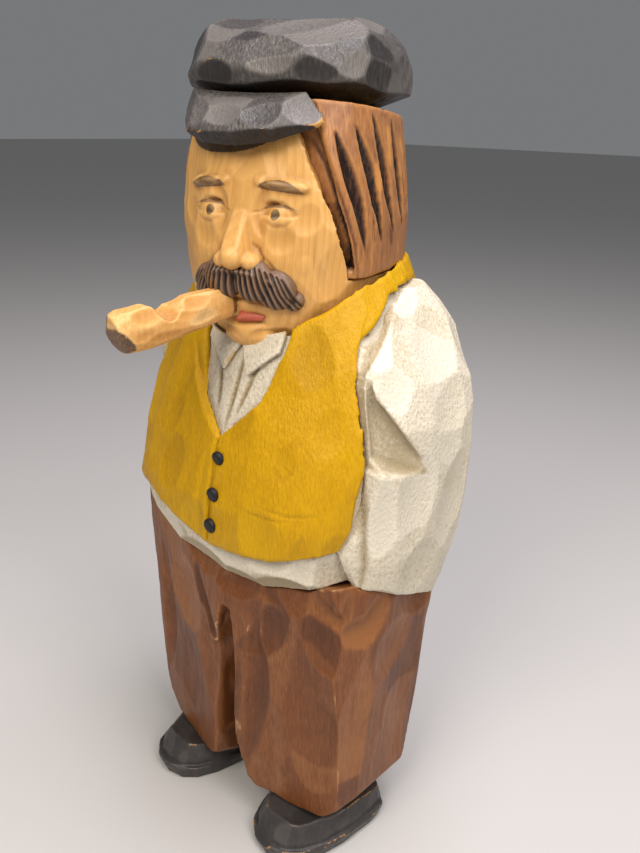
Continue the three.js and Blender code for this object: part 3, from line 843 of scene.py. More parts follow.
    def move_armhole(self) -> None:
        """Slides the skin round the trunk until the armholes lie where the knife line runs.

        The vest, the shirt and the sleeves are all slid alike, so they still meet.
        """
        heights, packed, wanted = np.array(ARMHOLE).T
        x, y, z = self.points.T
        side = np.where(x < 0.0, -1.0, 1.0)
        around = ARMHOLE_WAY[0] * np.abs(x) + ARMHOLE_WAY[1] * y
        line = np.interp(z, heights, packed)
        ahead = np.exp(-(((around - line) / ARMHOLE_SPREAD) ** 2))
        behind = np.clip(1.0 - (around - line) / ARMHOLE_SQUEEZE, 0.0, 1.0)
        slide = np.interp(z, heights, wanted - packed) * np.where(around < line, ahead, behind)
        slide *= np.clip((ARMHOLE_BACK - y) / 6.0, 0.0, 1.0)
        self.points += np.stack((ARMHOLE_WAY[0] * side * slide, ARMHOLE_WAY[1] * slide, 0.0 * z), 1)

    def sink(self, where: np.ndarray, depth: float, blur: int = 2) -> None:
        """Pushes part of the surface in, below a neighbour that covers it.

        Args:
            where: one for each point to push in, nought for the rest.
            depth: how far, mm.
            blur: passes that soften the border.
        """
        share = self.blurred(where.astype(float), blur)
        self.points -= self.normals() * (share * depth)[:, None]

    def flat(self, at: Point, facing: Point, tone: Optional[float] = None) -> None:
        """Pares everything beyond a plane down to it.

        Args:
            at: a point on the plane.
            facing: the plane's outward direction.
            tone: how light the new face dries, from 0 to 1.
        """
        n = unit(facing)
        over = (self.points - np.asarray(at, float)) @ n
        hit = over > 0.0
        self.points[hit] -= over[hit, None] * n
        if tone is not None:
            self.tone[hit] = tone

    def groove(self, cut: Groove) -> None:
        """Draws one cut along a line.

        Args:
            cut: its path, width, depth and direction.
        """
        inwards = unit(cut.inwards)
        path = np.asarray(cut.path, float)
        best = np.full(len(self.points), 1e9)
        place = np.zeros(len(self.points))
        near = np.full(len(self.points), 1e9)
        lengths = np.linalg.norm(np.diff(path, axis=0), axis=1)
        total, run = float(lengths.sum()), 0.0
        for start, end, length in zip(path[:-1], path[1:], lengths):
            lay = end - start
            flat_lay = lay - inwards * float(lay @ inwards)
            offset = self.points - start
            flat_offset = offset - np.outer(offset @ inwards, inwards)
            share = np.clip(flat_offset @ flat_lay / max(float(flat_lay @ flat_lay), 1e-9), 0.0, 1.0)
            aside = np.linalg.norm(flat_offset - np.outer(share, flat_lay), axis=1)
            away = np.abs((offset - np.outer(share, lay)) @ inwards)
            closer = aside < best
            best[closer], near[closer] = aside[closer], away[closer]
            place[closer] = (run + share[closer] * length) / total
            run += length
        swell = np.sin(np.pi * np.clip(place, 0.0, 1.0)) ** cut.taper if cut.taper > 0.0 else 1.0
        half = np.maximum(0.5 * cut.width * np.maximum(swell, 0.02), 1e-6)
        inside = np.clip(1.0 - best / half, 0.0, 1.0)
        if cut.soft:
            inside = inside * inside * (3.0 - 2.0 * inside)
        push = cut.depth * swell * inside * np.clip((SNAP_REACH - near) / 2.0, 0.0, 1.0)
        push *= self.normals() @ inwards < 0.0
        hit = push > LEAST_CUT
        self.points[hit] += push[hit, None] * inwards
        if cut.tone is not None:
            self.tone[hit & (inside > 0.25)] = cut.tone

    def whittle(
        self,
        seed: int,
        spacing: float,
        depth: tuple[float, float] = (0.25, 0.6),
        along: float = 140.0,
        across: float = 60.0,
        stroke: Point = (0.0, 0.0, 1.0),
        where: Optional[Callable[[np.ndarray, np.ndarray], np.ndarray]] = None,
        tones: tuple[float, float] = (0.15, 0.85),
    ) -> None:
        """Covers the region with small cuts, side by side and a little uneven.

        Args:
            seed: fixes the cuts' places.
            spacing: the distance between neighbouring cuts, mm.
            depth: the shallowest and the deepest cut, mm.
            along: how flat the hollows are along the stroke, mm.
            across: how flat they are across it, mm.
            stroke: the direction that the knife runs in.
            where: picks the points where cuts may lie, from points and normals.
            tones: the darkest and the lightest that a cut dries.
        """
        rng = np.random.default_rng(seed)
        normals = self.blurred(self.normals(), max(2, int((EVEN_OUT / self.grid) ** 2)))
        normals /= np.maximum(np.linalg.norm(normals, axis=1, keepdims=True), 1e-9)
        allowed = np.ones(len(self.points), bool) if where is None else where(self.points, normals)
        pool = np.flatnonzero(allowed)
        if not len(pool):
            return
        squeeze = np.array([1.0, 1.0, math.sqrt(across / along) if abs(stroke[2]) > 0.5 else 1.0])
        picked: list[int] = []
        for index in rng.choice(pool, size=min(len(pool), CANDIDATES), replace=False):
            if picked:
                gaps = (self.points[picked] - self.points[index]) * squeeze
                if (np.einsum("ij,ij->i", gaps, gaps) < spacing * spacing).any():
                    continue
            picked.append(int(index))
        starts = self.points[picked].copy()
        for start, facing in zip(starts, normals[picked]):
            tilt = facing + rng.normal(0.0, HAND_TILT, 3)
            deep = float(rng.uniform(*depth))
            long, wide = along * float(rng.uniform(*UNEVEN)), across * float(rng.uniform(*UNEVEN))
            way = np.asarray(stroke) + rng.normal(0.0, HAND_SWING, 3)
            tone = float(rng.uniform(*tones))
            self.scoop(Scoop(tuple(start), tuple(tilt), deep, long, wide, tuple(way), tone=tone))

    def settle(self, times: int = 1, amount: float = 0.4) -> None:
        """Softens every ridge a little, as paint and handling do."""
        self.ease(np.full(len(self.points), amount), times)

    def fray(self, height: float, size: float, seed: int) -> None:
        """Raises and sinks the surface unevenly, as a brush and torn fibres do.

        Args:
            height: how far, mm.
            size: how broad the unevenness is, mm.
            seed: fixes the pattern.
        """
        shift = Vector((seed * 7.3, seed * 3.1, 0.0))  # each seed reads another part of the noise
        raw = [noise.noise(Vector(p) / size + shift) for p in self.points * [1.0, 1.0, 0.6]]
        self.points += self.normals() * (np.asarray(raw) * height)[:, None]

    def finished(self, finish: Finish, body: str = "figure", stands_for: Sequence[str] = ()) -> None:
        """Writes the mesh out as a piece with its finish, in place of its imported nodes.

        Args:
            finish: the paint, stain or bare wood.
            body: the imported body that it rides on.
            stands_for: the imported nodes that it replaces, if not all that it was cut from.
        """
        normals = self.normals()
        reach = max(2, int((FINE_BLUR / self.grid) ** 2))
        dip = ((self.blurred(self.points, reach) - self.points) * normals).sum(1)
        broad = ((self.blurred(self.points, reach * 5) - self.points) * normals).sum(1)
        # A tone below nought marks a cut that is painted dark: painted shade under overhangs and ledges, the
        # dark line of a seam, the cuts between the locks of hair and the charred end of the pipe.
        dark = self.blurred(np.maximum(-self.tone, 0.0), 1)
        cuts = self.blurred(np.maximum(dip / CUT_FULL, broad / HOLLOW_FULL), 1)
        stored = {
            "ridge": np.clip(-dip / RIDGE_FULL, 0.0, 1.0),
            "crease": np.clip(np.maximum(cuts, dark), 0.0, 1.0),
            "tone": self.blurred(np.maximum(self.tone, 0.0), 1),
            **self.extra,
        }
        self.mesh.vertices.foreach_set("co", self.space.outwards(self.points).ravel())
        for name, values in stored.items():
            layer = self.mesh.attributes.new(name, "FLOAT", "POINT")
            layer.data.foreach_set("value", values.astype(np.float32))
        self.mesh.polygons.foreach_set("use_smooth", np.ones(len(self.mesh.polygons), bool))
        self.mesh.materials.clear()
        self.mesh.materials.append(finish.material())
        self.mesh.update()
        piece = bpy.data.objects.new(self.name, self.mesh)
        bpy.context.scene.collection.objects.link(piece)
        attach(piece, body)
        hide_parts(*(stands_for or self.nodes))
        LOG.info("%s: %d points", self.name, len(self.points))


# ------------------------------------------------------------------------------------ the cap
@dataclass
class Cap:
    """The flat cap: a soft crown with bold flats, over a short scooped visor."""

    fineness: float = 0.5

    def build(self) -> None:
        """Carves and paints the crown and the visor."""
        self.crown()
        self.visor()

    def crown(self) -> None:
        """Carves the crown: a low faceted top, a row of steep flats, and a deep undercut."""
        crown = Carving("crown", ["cap_crown"], self.fineness, Space.HEAD)
        crown.whittle(11, 10.0, (0.4, 0.9), 60.0, 36.0, stroke=(0.6, 0.5, 0.2))
        # Steep flats round the crown: those that tilt up are toned light as painted sheen, and those that
        # tilt down dark as painted shade.
        for at, facing, depth, along, across, tone in (
            ((-10.5, -22, 226.5), (-0.18, -0.93, -0.3), 1.1, 40, 30, 0.1),
            ((5, -23, 228), (0.1, -0.97, 0.2), 0.9, 26, 24, 0.95),
            ((16, -21, 226.5), (0.5, -0.85, -0.16), 1.2, 34, 26, 0.15),
            ((24, -14, 228), (0.8, -0.55, 0.2), 1, 30, 26, 0.8),
            ((27, -4, 226), (0.97, -0.16, -0.1), 1.2, 30, 24, 0.25),
            ((27, 10, 227), (0.97, 0.2, 0.1), 1, 30, 26, 0.6),
            ((22, 24, 226.5), (0.75, 0.65, -0.1), 1.1, 30, 26, 0.2),
            ((8, 31, 227), (0.25, 0.95, 0.1), 1, 34, 26, 0.7),
            ((-9, 31, 226.5), (-0.28, 0.95, -0.12), 1.2, 34, 26, 0.25),
            ((-22, 23, 227), (-0.78, 0.6, 0.1), 1, 30, 26, 0.7),
            ((-27, 8, 226.5), (-0.98, 0.1, -0.12), 1.2, 30, 26, 0.15),
            ((-25, -10, 227), (-0.9, -0.4, 0.1), 1, 30, 26, 0.6),
        ):
            crown.scoop(Scoop(at, facing, depth, along, across, (-facing[1], facing[0], 0.0), tone=tone))
        self.undercut(crown)
        # Flats over the top, toned light as painted sheen.
        for at, facing in (
            ((-7, -18, 235), (-0.1, -0.5, 0.86)),
            ((12, -14, 236), (0.25, -0.4, 0.88)),
            ((22, 2, 235), (0.5, 0, 0.86)),
            ((2, 8, 239), (0.04, 0.1, 1)),
            ((-17, 6, 237), (-0.4, 0.1, 0.9)),
        ):
            crown.scoop(Scoop(at, facing, 0.5, 120.0, 60.0, (0.9, 0.3, 0.0), tone=0.75))
        crown.settle(1)
        crown.finished(BLACK)

    def undercut(self, crown: Carving) -> None:
        """Cuts the underside back in bites, so that the lower edge is scalloped and overhangs; each bite is
        toned dark as painted shadow under the overhang.

        Args:
            crown: the crown, already carved above.
        """
        bites, half_bite = 18, 0.17  # the second is in radians
        middle = 3.0  # the crown's own middle lies this far behind the block's, mm
        outwards = np.arctan2(crown.points[:, 1] - middle, crown.points[:, 0])
        reach = np.hypot(crown.points[:, 0], crown.points[:, 1] - middle)
        for k in range(bites):
            angle = math.tau * (k + 0.3) / bites - math.pi
            sector = np.abs(np.angle(np.exp(1j * (outwards - angle)))) < half_bite
            rim = sector & (reach > reach[sector].max() - 2.5)
            c, s = math.cos(angle), math.sin(angle)
            low = float(crown.points[rim, 2].min()) + (1.9 if k % 2 else 0.9)
            far = float(reach[sector].max()) - 1.0
            # The bite's face is toned below nought: painted shadow.
            crown.flat((far * c, far * s + middle, low), (0.35 * c, 0.35 * s, -0.93), tone=-0.7)

    def visor(self) -> None:
        """Carves the visor: four bold scoops side by side, under a flat that runs back."""
        visor = Carving("visor", ["cap_visor"], self.fineness * 0.9, Space.HEAD)
        for at, facing, depth, tone in (
            ((-10.6, -28, 216.8), (-0.46, -0.66, 0.6), 1.3, 0.6),
            ((-2.6, -29.4, 216.8), (-0.1, -0.7, 0.7), 1.5, 0.9),
            ((6.4, -28.4, 217), (0.22, -0.7, 0.66), 1.4, 0.4),
            ((14.6, -24, 218), (0.6, -0.5, 0.62), 1.3, 0.85),
        ):
            visor.scoop(Scoop(at, facing, depth, 26.0, 17.0, (0.0, 0.6, 0.8), clear=6.0, tone=tone))
        # The top slopes back into the shadow under the crown.
        visor.flat((0.0, -25.0, 219.4), (0.0, -0.42, 0.9))
        # Below the lip the wood falls back to the forehead, painted black, and it is toned darker still as
        # painted shade under the lip.
        for at, facing in (
            ((-12, -29.4, 212.8), (-0.45, -0.66, -0.6)),
            ((-3, -31.4, 212.4), (-0.08, -0.74, -0.66)),
            ((8, -30.4, 213.2), (0.2, -0.72, -0.66)),
            ((15.5, -26.4, 214.6), (0.55, -0.54, -0.62)),
        ):
            visor.flat(at, facing, tone=-0.8)
        visor.settle(1)
        visor.finished(BLACK)


# ------------------------------------------------------------------------------------ the head
LOCK_CUT = (4.4, 2.8)  # width and depth of the cuts that part the locks of hair, mm


@dataclass
class Head:
    """The bare wooden face, of plain proportions, with the hair, the moustache and the lip."""

    fineness: float = 0.45
    fine: float = 0.3  # the grid of the moustache and the lip, mm
    hair_drop: float = 2.2  # how much longer the foot of the hair is left to meet the collar, mm
    flutes: int = 10  # on each side of the moustache

    def build(self) -> None:
        """Carves and finishes the head's four pieces."""
        self.face()
        self.hair()
        self.moustache()
        lip = Carving("lower_lip", ["lip"], self.fine, Space.HEAD, swell=0.1)
        lip.settle(9)
        lip.finished(RED)

    def face(self) -> None:
        """Carves the face: brows, sockets, lids, nose, cheeks and chin, then long flats."""
        both: list[Lump] = []
        for side in (-1.0, 1.0):
            both += [
                Lump((side * 10.6, -24, 200.6), (7.2, 2.3, 1.8), (0, side * 6, side * 14)),  # brow
                Lump((side * 10.2, -22.4, 193.4), (4.9, 3.2, 3), (0, 0, side * 10)),  # eye
                Lump((side * 4.2, -28, 181.6), (2.5, 2.8, 2.3)),  # nostril
                Lump((side * 12, -18.6, 182), (8, 6.4, 8.6), (0, 0, side * 14)),  # cheek
            ]
        both.append(Lump((0, -30.4, 182.8), (3.2, 3.2, 3.1)))  # tip of the nose
        both.append(Lump((0, -20.6, 162.6), (9.0, 5.0, 5.4)))  # chin
        face = Carving("face", ["head"], self.fineness, Space.HEAD, swell=0.1, lumps=both)
        gap = face.gap_to("hair")
        face.ease(np.clip((3.2 - gap) / 1.2, 0.0, 1.0), 10)
        behind = np.clip((face.points[:, 1] - self.hairline(face.points) - 0.5) / 1.4, 0.0, 1.0)
        face.sink(behind * np.clip((2.6 - gap) / 1.2, 0.0, 1.0), 3.6, 1)
        face.trench(face.gap_to("vest_left", "vest_right", "vest_back"), 1.6, 0.7)
        for side in (-1.0, 1.0):
            for x, y, z, facing, depth, along, across in (
                (4.4, -25.5, 194.5, (0.6, -0.8, 0), 0.8, 14, 6),
                (16, -21.8, 194, (0.6, -0.8, 0), 0.7, 14, 9),
                (9.6, -24.2, 187.6, (0.3, -0.95, 0), 0.8, 10, 18),
            ):
                at, way = mirrored(side, (x, y, z), facing)
                face.scoop(Scoop(at, way, depth, along, across, clear=2.0))
            for line, width, depth, soft, tone in (
                (((5, 193.4), (7.6, 195.9), (11.4, 196.3), (15.6, 193.4)), 1.4, 0.8, False, 0.3),
                (((6, 192.4), (9.2, 190.7), (12.4, 190.9), (15, 192.8)), 1.3, 0.5, True, None),
                (((6.6, 183.4), (10.2, 179), (14, 173), (15.6, 167)), 3, 0.8, True, None),
            ):
                path = tuple((side * x, -24.0, z) for x, z in line)
                face.groove(Groove(path, width, depth, (0, 1, 0), 0.5, soft, tone))
            wing = ((3.6, -27.0, 186.4), (6.2, -27.0, 184.8), (7.2, -27.0, 182.0), (6.4, -27.0, 179.8))
            face.groove(Groove(mirrored(side, *wing), 1.3, 0.8, (-side * 0.5, 0.86, 0), 0.6, tone=0.3))
        mouth = ((-10.0, -25.0, 170.8), (-3.0, -26.0, 171.3), (4.0, -26.0, 171.1), (10.5, -24.0, 170.2))
        face.groove(Groove(mouth, 1.8, 1.2, (0, 1, 0), 0.5, tone=0.2))
        under_lip = ((-6.0, -25.0, 165.6), (0.0, -25.6, 165.0), (6.0, -25.0, 165.6))
        face.groove(Groove(under_lip, 3.4, 0.7, (0, 1, 0.2), 0.6, True, None))
        for side in (-1.0, 1.0):
            for x, y, z, facing, depth, tone in (
                (21, -19, 176, (0.75, -0.66, -0.05), 0.7, 0.35),
                (14, -22.6, 170, (0.45, -0.87, -0.2), 0.6, 0.5),
                (18, -18, 163.5, (0.7, -0.6, -0.4), 0.6, 0.2),
                (24.5, -15, 184, (0.88, -0.46, 0), 0.6, 0.75),
                (9, -21, 159.5, (0.3, -0.75, -0.6), 0.5, 0.3),
                (21.5, -19.5, 196, (0.76, -0.64, 0.1), 0.5, 0.8),
            ):
                at, way = mirrored(side, (x, y, z), facing)
                face.scoop(Scoop(at, way, depth, 60.0, 34.0, clear=1.6, tone=tone))
        for x in (-9.0, 0.5, 10.0):
            way = (0.02 * x, -0.98, 0.2)
            face.scoop(Scoop((x, -25.5, 207.0), way, 0.45, 50.0, 30.0, (1, 0, 0), clear=1.2, tone=0.6))
        face.settle(2)
        for mark in FACE_MARKS:
            face.extra[mark.name] = mark.distance(face.points)
        face.finished(FACE_WOOD)

    @staticmethod
    def hairline(points: np.ndarray) -> np.ndarray:
        """Gives the border of hair and face at each point's height.

        Args:
            points: one point a row, in the head's space.

        Returns:
            How far back the border lies, mm.
        """
        heights = (177.0, 186.0, 197.0, 206.0, 214.0, 224.0)
        return np.interp(points[:, 2], heights, (-14.0, -17.0, -19.6, -20.6, -20.6, -20.0))

    def hair(self) -> None:
        """Carves the hair: long locks parted by deep slanting V cuts."""
        hair = Carving("hair_locks", ["hair", "head"], self.fineness * 1.1, Space.HEAD)
        away = np.clip((hair.gap_to("hair") - 0.4) / 0.8, 0.0, 1.0)
        ahead = np.clip((self.hairline(hair.points) + 0.7 - hair.points[:, 1]) / 1.0, 0.0, 1.0)
        hair.sink(np.maximum(away, ahead), 3.6, 1)
        low = np.clip(181.4 - hair.points[:, 2], 0.0, 1.0) * np.maximum(away, ahead)
        hair.points[:, :2] *= 1.0 - 0.14 * low[:, None]
        hair.flat((0.0, 0.0, 178.6), (0.0, 0.0, -1.0))
        foot = np.clip((185.0 - hair.points[:, 2]) / 4.0, 0.0, 1.0) * (1.0 - np.maximum(away, ahead))
        hair.points[:, 2] -= self.hair_drop * foot
        hair.whittle(31, 7.0, (0.12, 0.3), 120.0, 20.0, where=lambda p, n: ahead < 0.1, tones=(0.2, 0.95))
        border = (
            (16.9, -19.6, 212), (20.6, -19, 206), (23.6, -18, 198), (26.6, -15.4, 187),
            (28.8, -12.2, 168),
        )
        for side in (-1.0, 1.0):
            edge = mirrored(side, *border)
            hair.groove(Groove(edge, 1.5, 0.7, (-side * 0.8, 0.6, 0), 0.3, tone=0.1))
            for out, *path in (
                (-0.4, (20.6, -17.6, 214), (24.8, -15.8, 202.6), (26.8, -14.4, 196.5), (28.4, -12.2, 184.5)),
                (-0.25, (24.4, -13.1, 215), (27.7, -9.6, 203.2), (29, -8.2, 197), (30.2, -5.6, 186)),
                (-0.1, (26.4, -7.2, 218), (28.2, -3.8, 206.6), (29.4, -2.2, 198.5), (30.4, 0.6, 188.5)),
                (0.1, (27.2, 2.8, 217), (28.5, 4.6, 206), (29.5, 5.8, 198), (30.4, 7.4, 189)),
                (0.3, (26.8, 12.6, 216), (28, 13.6, 205), (28.6, 14.2, 197.5), (29, 15.2, 187.5)),
                (0.8, (22.8, 21.4, 216), (23.8, 22.6, 205), (24.6, 23.2, 197), (25, 24, 187)),
                (2.2, (14.6, 27.6, 215), (15.4, 28.6, 205), (15.8, 29, 198), (16.2, 29.4, 186.5)),
            ):
                hair.groove(Groove(mirrored(side, *path), *LOCK_CUT, (-side, -out, 0.0), 0.9, tone=-0.55))
        for x in (-5.4, 4.2):
            cut = ((x, 29.6, 214.0), (x + 0.6, 31.0, 200.0), (x + 1.0, 31.4, 186.5))
            hair.groove(Groove(cut, *LOCK_CUT, (0, -1, 0), 0.9, tone=-0.55))
        hair.settle(1, 0.3)
        hair.finished(HAIR_STAIN, stands_for=("hair",))

    def moustache(self) -> None:
        """Carves the moustache: flutes that fan out and down from under the nose."""
        both: list[Lump] = []
        for side in (-1.0, 1.0):
            both += [
                Lump((side * 4.6, -27.2, 176.8), (5.6, 3.6, 5.6), (0, side * 10, 0)),
                Lump((side * 10, -25.2, 174.8), (5.4, 3.3, 5.2), (0, side * 26, side * 12)),
                Lump((side * 14, -22.8, 172), (2.6, 2.1, 2.8), (0, side * 40, side * 20)),
            ]
        brush = Carving("moustache_locks", ["moustache"], self.fine, Space.HEAD, lumps=both)
        brush.settle(6, 0.5)
        for side in (-1.0, 1.0):
            for k in range(self.flutes):
                top, low = 0.4 + 1.3 * k, 0.8 + 2.05 * k
                path = (
                    (side * top, -30.0 + 0.4 * k, 183.4 - 0.6 * k),
                    (side * (0.55 * top + 0.45 * low), -30.0 + 0.5 * k, 178.0 - 0.6 * k),
                    (side * low, -29.0 + 0.5 * k, 169.6 - 0.05 * k),
                )
                brush.groove(Groove(path, 1.5, 0.9, (-side * 0.06 * k, 1, 0), 0.25, tone=0.05))
        brush.settle(1, 0.3)
        brush.finished(MOUSTACHE_STAIN)


# ------------------------------------------------------------------------------- shirt and sleeves
@dataclass
class Shirt:
    """The off-white shirt: the front in the neck opening, the roll at the waist and the sleeves."""

    fineness: float = 0.55
    fine: float = 0.35  # the grid of the collar, mm

    def build(self) -> None:
        """Carves and paints the shirt's pieces."""
        self.trunk()
        for side in ("left", "right"):
            flap = Carving("collar_" + side + "_flap", ["collar_" + side], self.fine, swell=0.25)
            flap.settle(2)
            flap.finished(WHITE)
            self.sleeve(side)

    def trunk(self) -> None:
        """Carves the pleats in the neck opening and the flats of the roll at the waist."""
        core = Carving("shirt_front", ["shirt"], self.fineness * 1.16, swell=0.2)
        under_arm = np.clip(1.6 - core.gap_to("sleeve_left", "sleeve_right"), 0.0, 1.0)
        cloth = core.gap_to("vest_left", "vest_right", "collar_left", "collar_right")
        core.move_armhole()
        core.whittle(41, 9.0, (0.3, 0.6), 40.0, 26.0, (1, 0, 0.1), lambda p, n: p[:, 2] < 112.0)
        core.sink(under_arm * np.clip((core.points[:, 2] - 108.0) / 4.0, 0.0, 1.0), 5.5, 1)
        core.trench(cloth, 1.4, 0.5)
        # Flats round the roll: those that face down are toned dark as painted shade, and those that face up
        # or out are toned light as painted light.
        for at, facing, depth, along, across, tone in (
            ((-30, -28, 100), (-0.6, -0.7, -0.35), 1.4, 60, 24, 0.1),
            ((-16.5, -34, 101), (-0.12, -0.96, -0.25), 1, 60, 30, 0.7),
            ((-2, -34, 97), (-0.05, -0.8, -0.6), 1.7, 50, 22, -0.1),
            ((9, -33.6, 99.5), (0.05, -0.97, 0.1), 1.1, 50, 22, 0.9),
            ((12, -32, 94), (0.1, -0.72, -0.7), 1.6, 50, 20, -0.15),
            ((24, -32, 101), (0.25, -0.93, 0.2), 1.1, 50, 22, 0.9),
            ((27, -29, 95), (0.33, -0.72, -0.66), 1.7, 40, 24, -0.2),
            ((35, -27, 101.5), (0.55, -0.8, -0.1), 1, 40, 20, 0.75),
            ((40, -22, 103), (0.85, -0.45, -0.2), 1.1, 30, 24, 0.4),
        ):
            core.scoop(Scoop(at, facing, depth, along, across, (1.0, 0.2, 0.25), tone=tone))
        for path in (
            ((3.4, -31, 134.5), (4.4, -28, 146), (5.4, -24, 158)),
            ((6.4, -30, 139), (8.6, -27, 147), (10.6, -25, 154)),
            ((-0.4, -30, 139), (-2, -27, 147), (-3.4, -25, 154)),
        ):
            core.groove(Groove(path, 2.0, 1.0, (0, 1, 0), 0.6, tone=0.1))
        bevel = ((5.0, -28.5, 136.0), (12.0, -28.0, 139.5), (17.0, -26.0, 147.0))
        core.groove(Groove(bevel, 3.2, 1.1, (0.1, 0.9, -0.3), 0.5, tone=0.9))
        core.settle(1)
        core.finished(WHITE)

    def sleeve(self, side: str) -> None:
        """Carves one sleeve: a puffed arm, bent at the elbow, with the hand in the pocket.

        Args:
            side: left or right, the figure's own.
        """
        out = 1.0 if side == "left" else -1.0
        arm = Carving("arm_" + side, ["sleeve_" + side], self.fineness, swell=0.2)
        to_vest = arm.gap_to("vest_" + side, "vest_back")
        arm.move_armhole()
        crook = np.array((out * 47.0, -8.0, 141.0))
        arm.whittle(
            51 if out > 0 else 52, 10.5, (0.4, 0.8), 60.0, 30.0,
            where=lambda p, n: np.linalg.norm(p - crook, axis=1) > 15.0, tones=(0.2, 0.95),
        )
        for at, facing, depth, along, across, tone in (
            ((34.5, 10, 172), (0.7, -0.1, 0.7), 1.1, 50, 34, 0.9),
            ((37.5, -3, 165), (0.62, -0.5, 0.6), 1, 40, 26, 0.95),
            ((43, 8, 160), (0.82, 0.02, 0.56), 1.2, 60, 36, 0.7),
            ((44, 22, 158), (0.75, 0.5, 0.45), 1.2, 60, 36, 0.5),
            ((46, -6, 155), (0.8, -0.42, 0.42), 1, 60, 22, 0.75),
            ((50.6, 9, 145), (0.97, 0.05, 0.24), 1.1, 80, 36, 0.6),
            ((52.5, -3, 121), (0.97, -0.22, 0.02), 1.2, 80, 34, 0.8),
            ((49.5, -13, 115), (0.82, -0.57, 0), 1.1, 90, 26, 0.95),
            ((52.4, 11, 116), (0.99, 0.14, -0.04), 1.2, 100, 34, 0.55),
            ((50.6, 2, 102), (0.97, -0.1, -0.22), 1.2, 60, 34, 0.45),
        ):
            place, way = mirrored(out, at, facing)
            arm.scoop(Scoop(place, way, depth, along, 0.8 * across, (0.0, 0.25, 1.0), tone=tone))
        # A bevel runs down beside the armhole, from the shoulder to the crook of the arm, toned dark as
        # painted shade.
        bevel = ((33.5, 4.5, 173.0), (36.6, -3.0, 166.5), (38.6, -9.6, 160.0), (39.2, -13.6, 154.5))
        arm.groove(Groove(mirrored(out, *bevel), 4.6, 1.7, (-out * 0.55, 0.75, -0.3), 0.6, tone=-0.3))
        # The crook: a chip that starts at the upper arm and ends in the ledge of the forearm; its face is
        # toned dark as painted shade.
        corners = mirrored(out, (37.0, -14.0, 158.5), (53.0, 0.0, 128.4), (37.0, -27.0, 133.6))
        arm.chip(Chip(*corners, 3.6, (-out * 0.8, 0.6, 0.0), 0.04, clear=14.0, tone=0.1))
        fold = ((44.5, -20.0, 132.5), (45.8, -20.0, 118.0), (45.6, -18.0, 104.0), (44.0, -17.0, 96.0))
        arm.groove(Groove(mirrored(out, *fold), 4.0, 1.3, (-out * 0.3, 0.95, 0), 0.35, tone=0.3))
        # The edge of the sleeve is tucked under the edge of the vest.
        under = arm.blurred(np.clip((TUCK - to_vest) / TUCK, 0.0, 1.0), 2)
        arm.points -= under[:, None] * np.array([TUCK * out * ARMHOLE_WAY[0], TUCK * ARMHOLE_WAY[1], 0.0])
        arm.sink(under * arm.outer(), 1.3, 1)
        arm.settle(1)
        arm.finished(WHITE)


# ------------------------------------------------------------------------------------ the vest
PANELS = ("left", "right", "back")
AROUND_VEST = ("sleeve_left", "sleeve_right", "head", "hair", "collar_left", "collar_right")


@dataclass
class Vest:
    """The yellow vest: two fronts that meet at the buttons, and a back, with broad soft flats."""

    fineness: float = 0.55
    fine: float = 0.25  # the grid of the buttons, mm

    def build(self) -> None:
        """Carves and paints the three panels and the three dots of paint for buttons."""
        for k, part in enumerate(PANELS):
            panel = Carving("vest_panel_" + part, ["vest_" + part], self.fineness, swell=0.4)
            panel.settle(6, 0.5)
            # The rim is where the panel meets anything but another panel of the vest.
            to_rim = panel.gap_to(*AROUND_VEST)
            to_panels = panel.gap_to(*("vest_" + other for other in PANELS if other != part))
            rim = np.clip((2.0 - to_rim) / 1.2, 0.0, 1.0) * np.clip((to_panels - 0.8) / 2.0, 0.0, 1.0)
            panel.move_armhole()
            outer = panel.outer()
            panel.whittle(
                61 + k, 11.0, (0.45, 0.85), 70.0, 32.0, (0.1, 0, 1), lambda p, n: outer, (0.05, 0.95)
            )
            if part == "left":
                for path in (
                    ((15, -36, 117.6), (24, -34, 116.6), (33, -30, 117.6)),
                    ((22, -34.5, 119.4), (31, -31, 118.8), (38.5, -26, 120)),
                ):
                    panel.groove(Groove(path, 0.9, 0.3, (-0.3, 0.95, 0), 0.5, tone=None))
                seam = ((4.6, -31.6, 131.0), (4.2, -34.4, 118.0), (3.9, -36.6, 106.0), (3.8, -36.4, 101.0))
                panel.groove(Groove(seam, 1.1, 0.35, (-0.2, 0.97, 0), 0.3, tone=-0.3))
            if part == "right":
                strip = ((0.6, -32.6, 129.0), (0.2, -34.8, 118.0), (0.0, -36.8, 106.0), (0.0, -36.4, 101.0))
                panel.groove(Groove(strip, 5.0, 0.5, (0.2, 0.97, 0), 0.3, tone=0.95))
            panel.ease(rim, 10)
            panel.fray(0.09, 2.2, 7 + k)
            panel.settle(1, 0.3)
            panel.finished(YELLOW)
        for name in ("button_top", "button_middle", "button_bottom"):
            dot = Carving(name + "_dot", [name], self.fine, swell=0.45)
            dot.settle(3)
            dot.finished(BLACK_DOT)


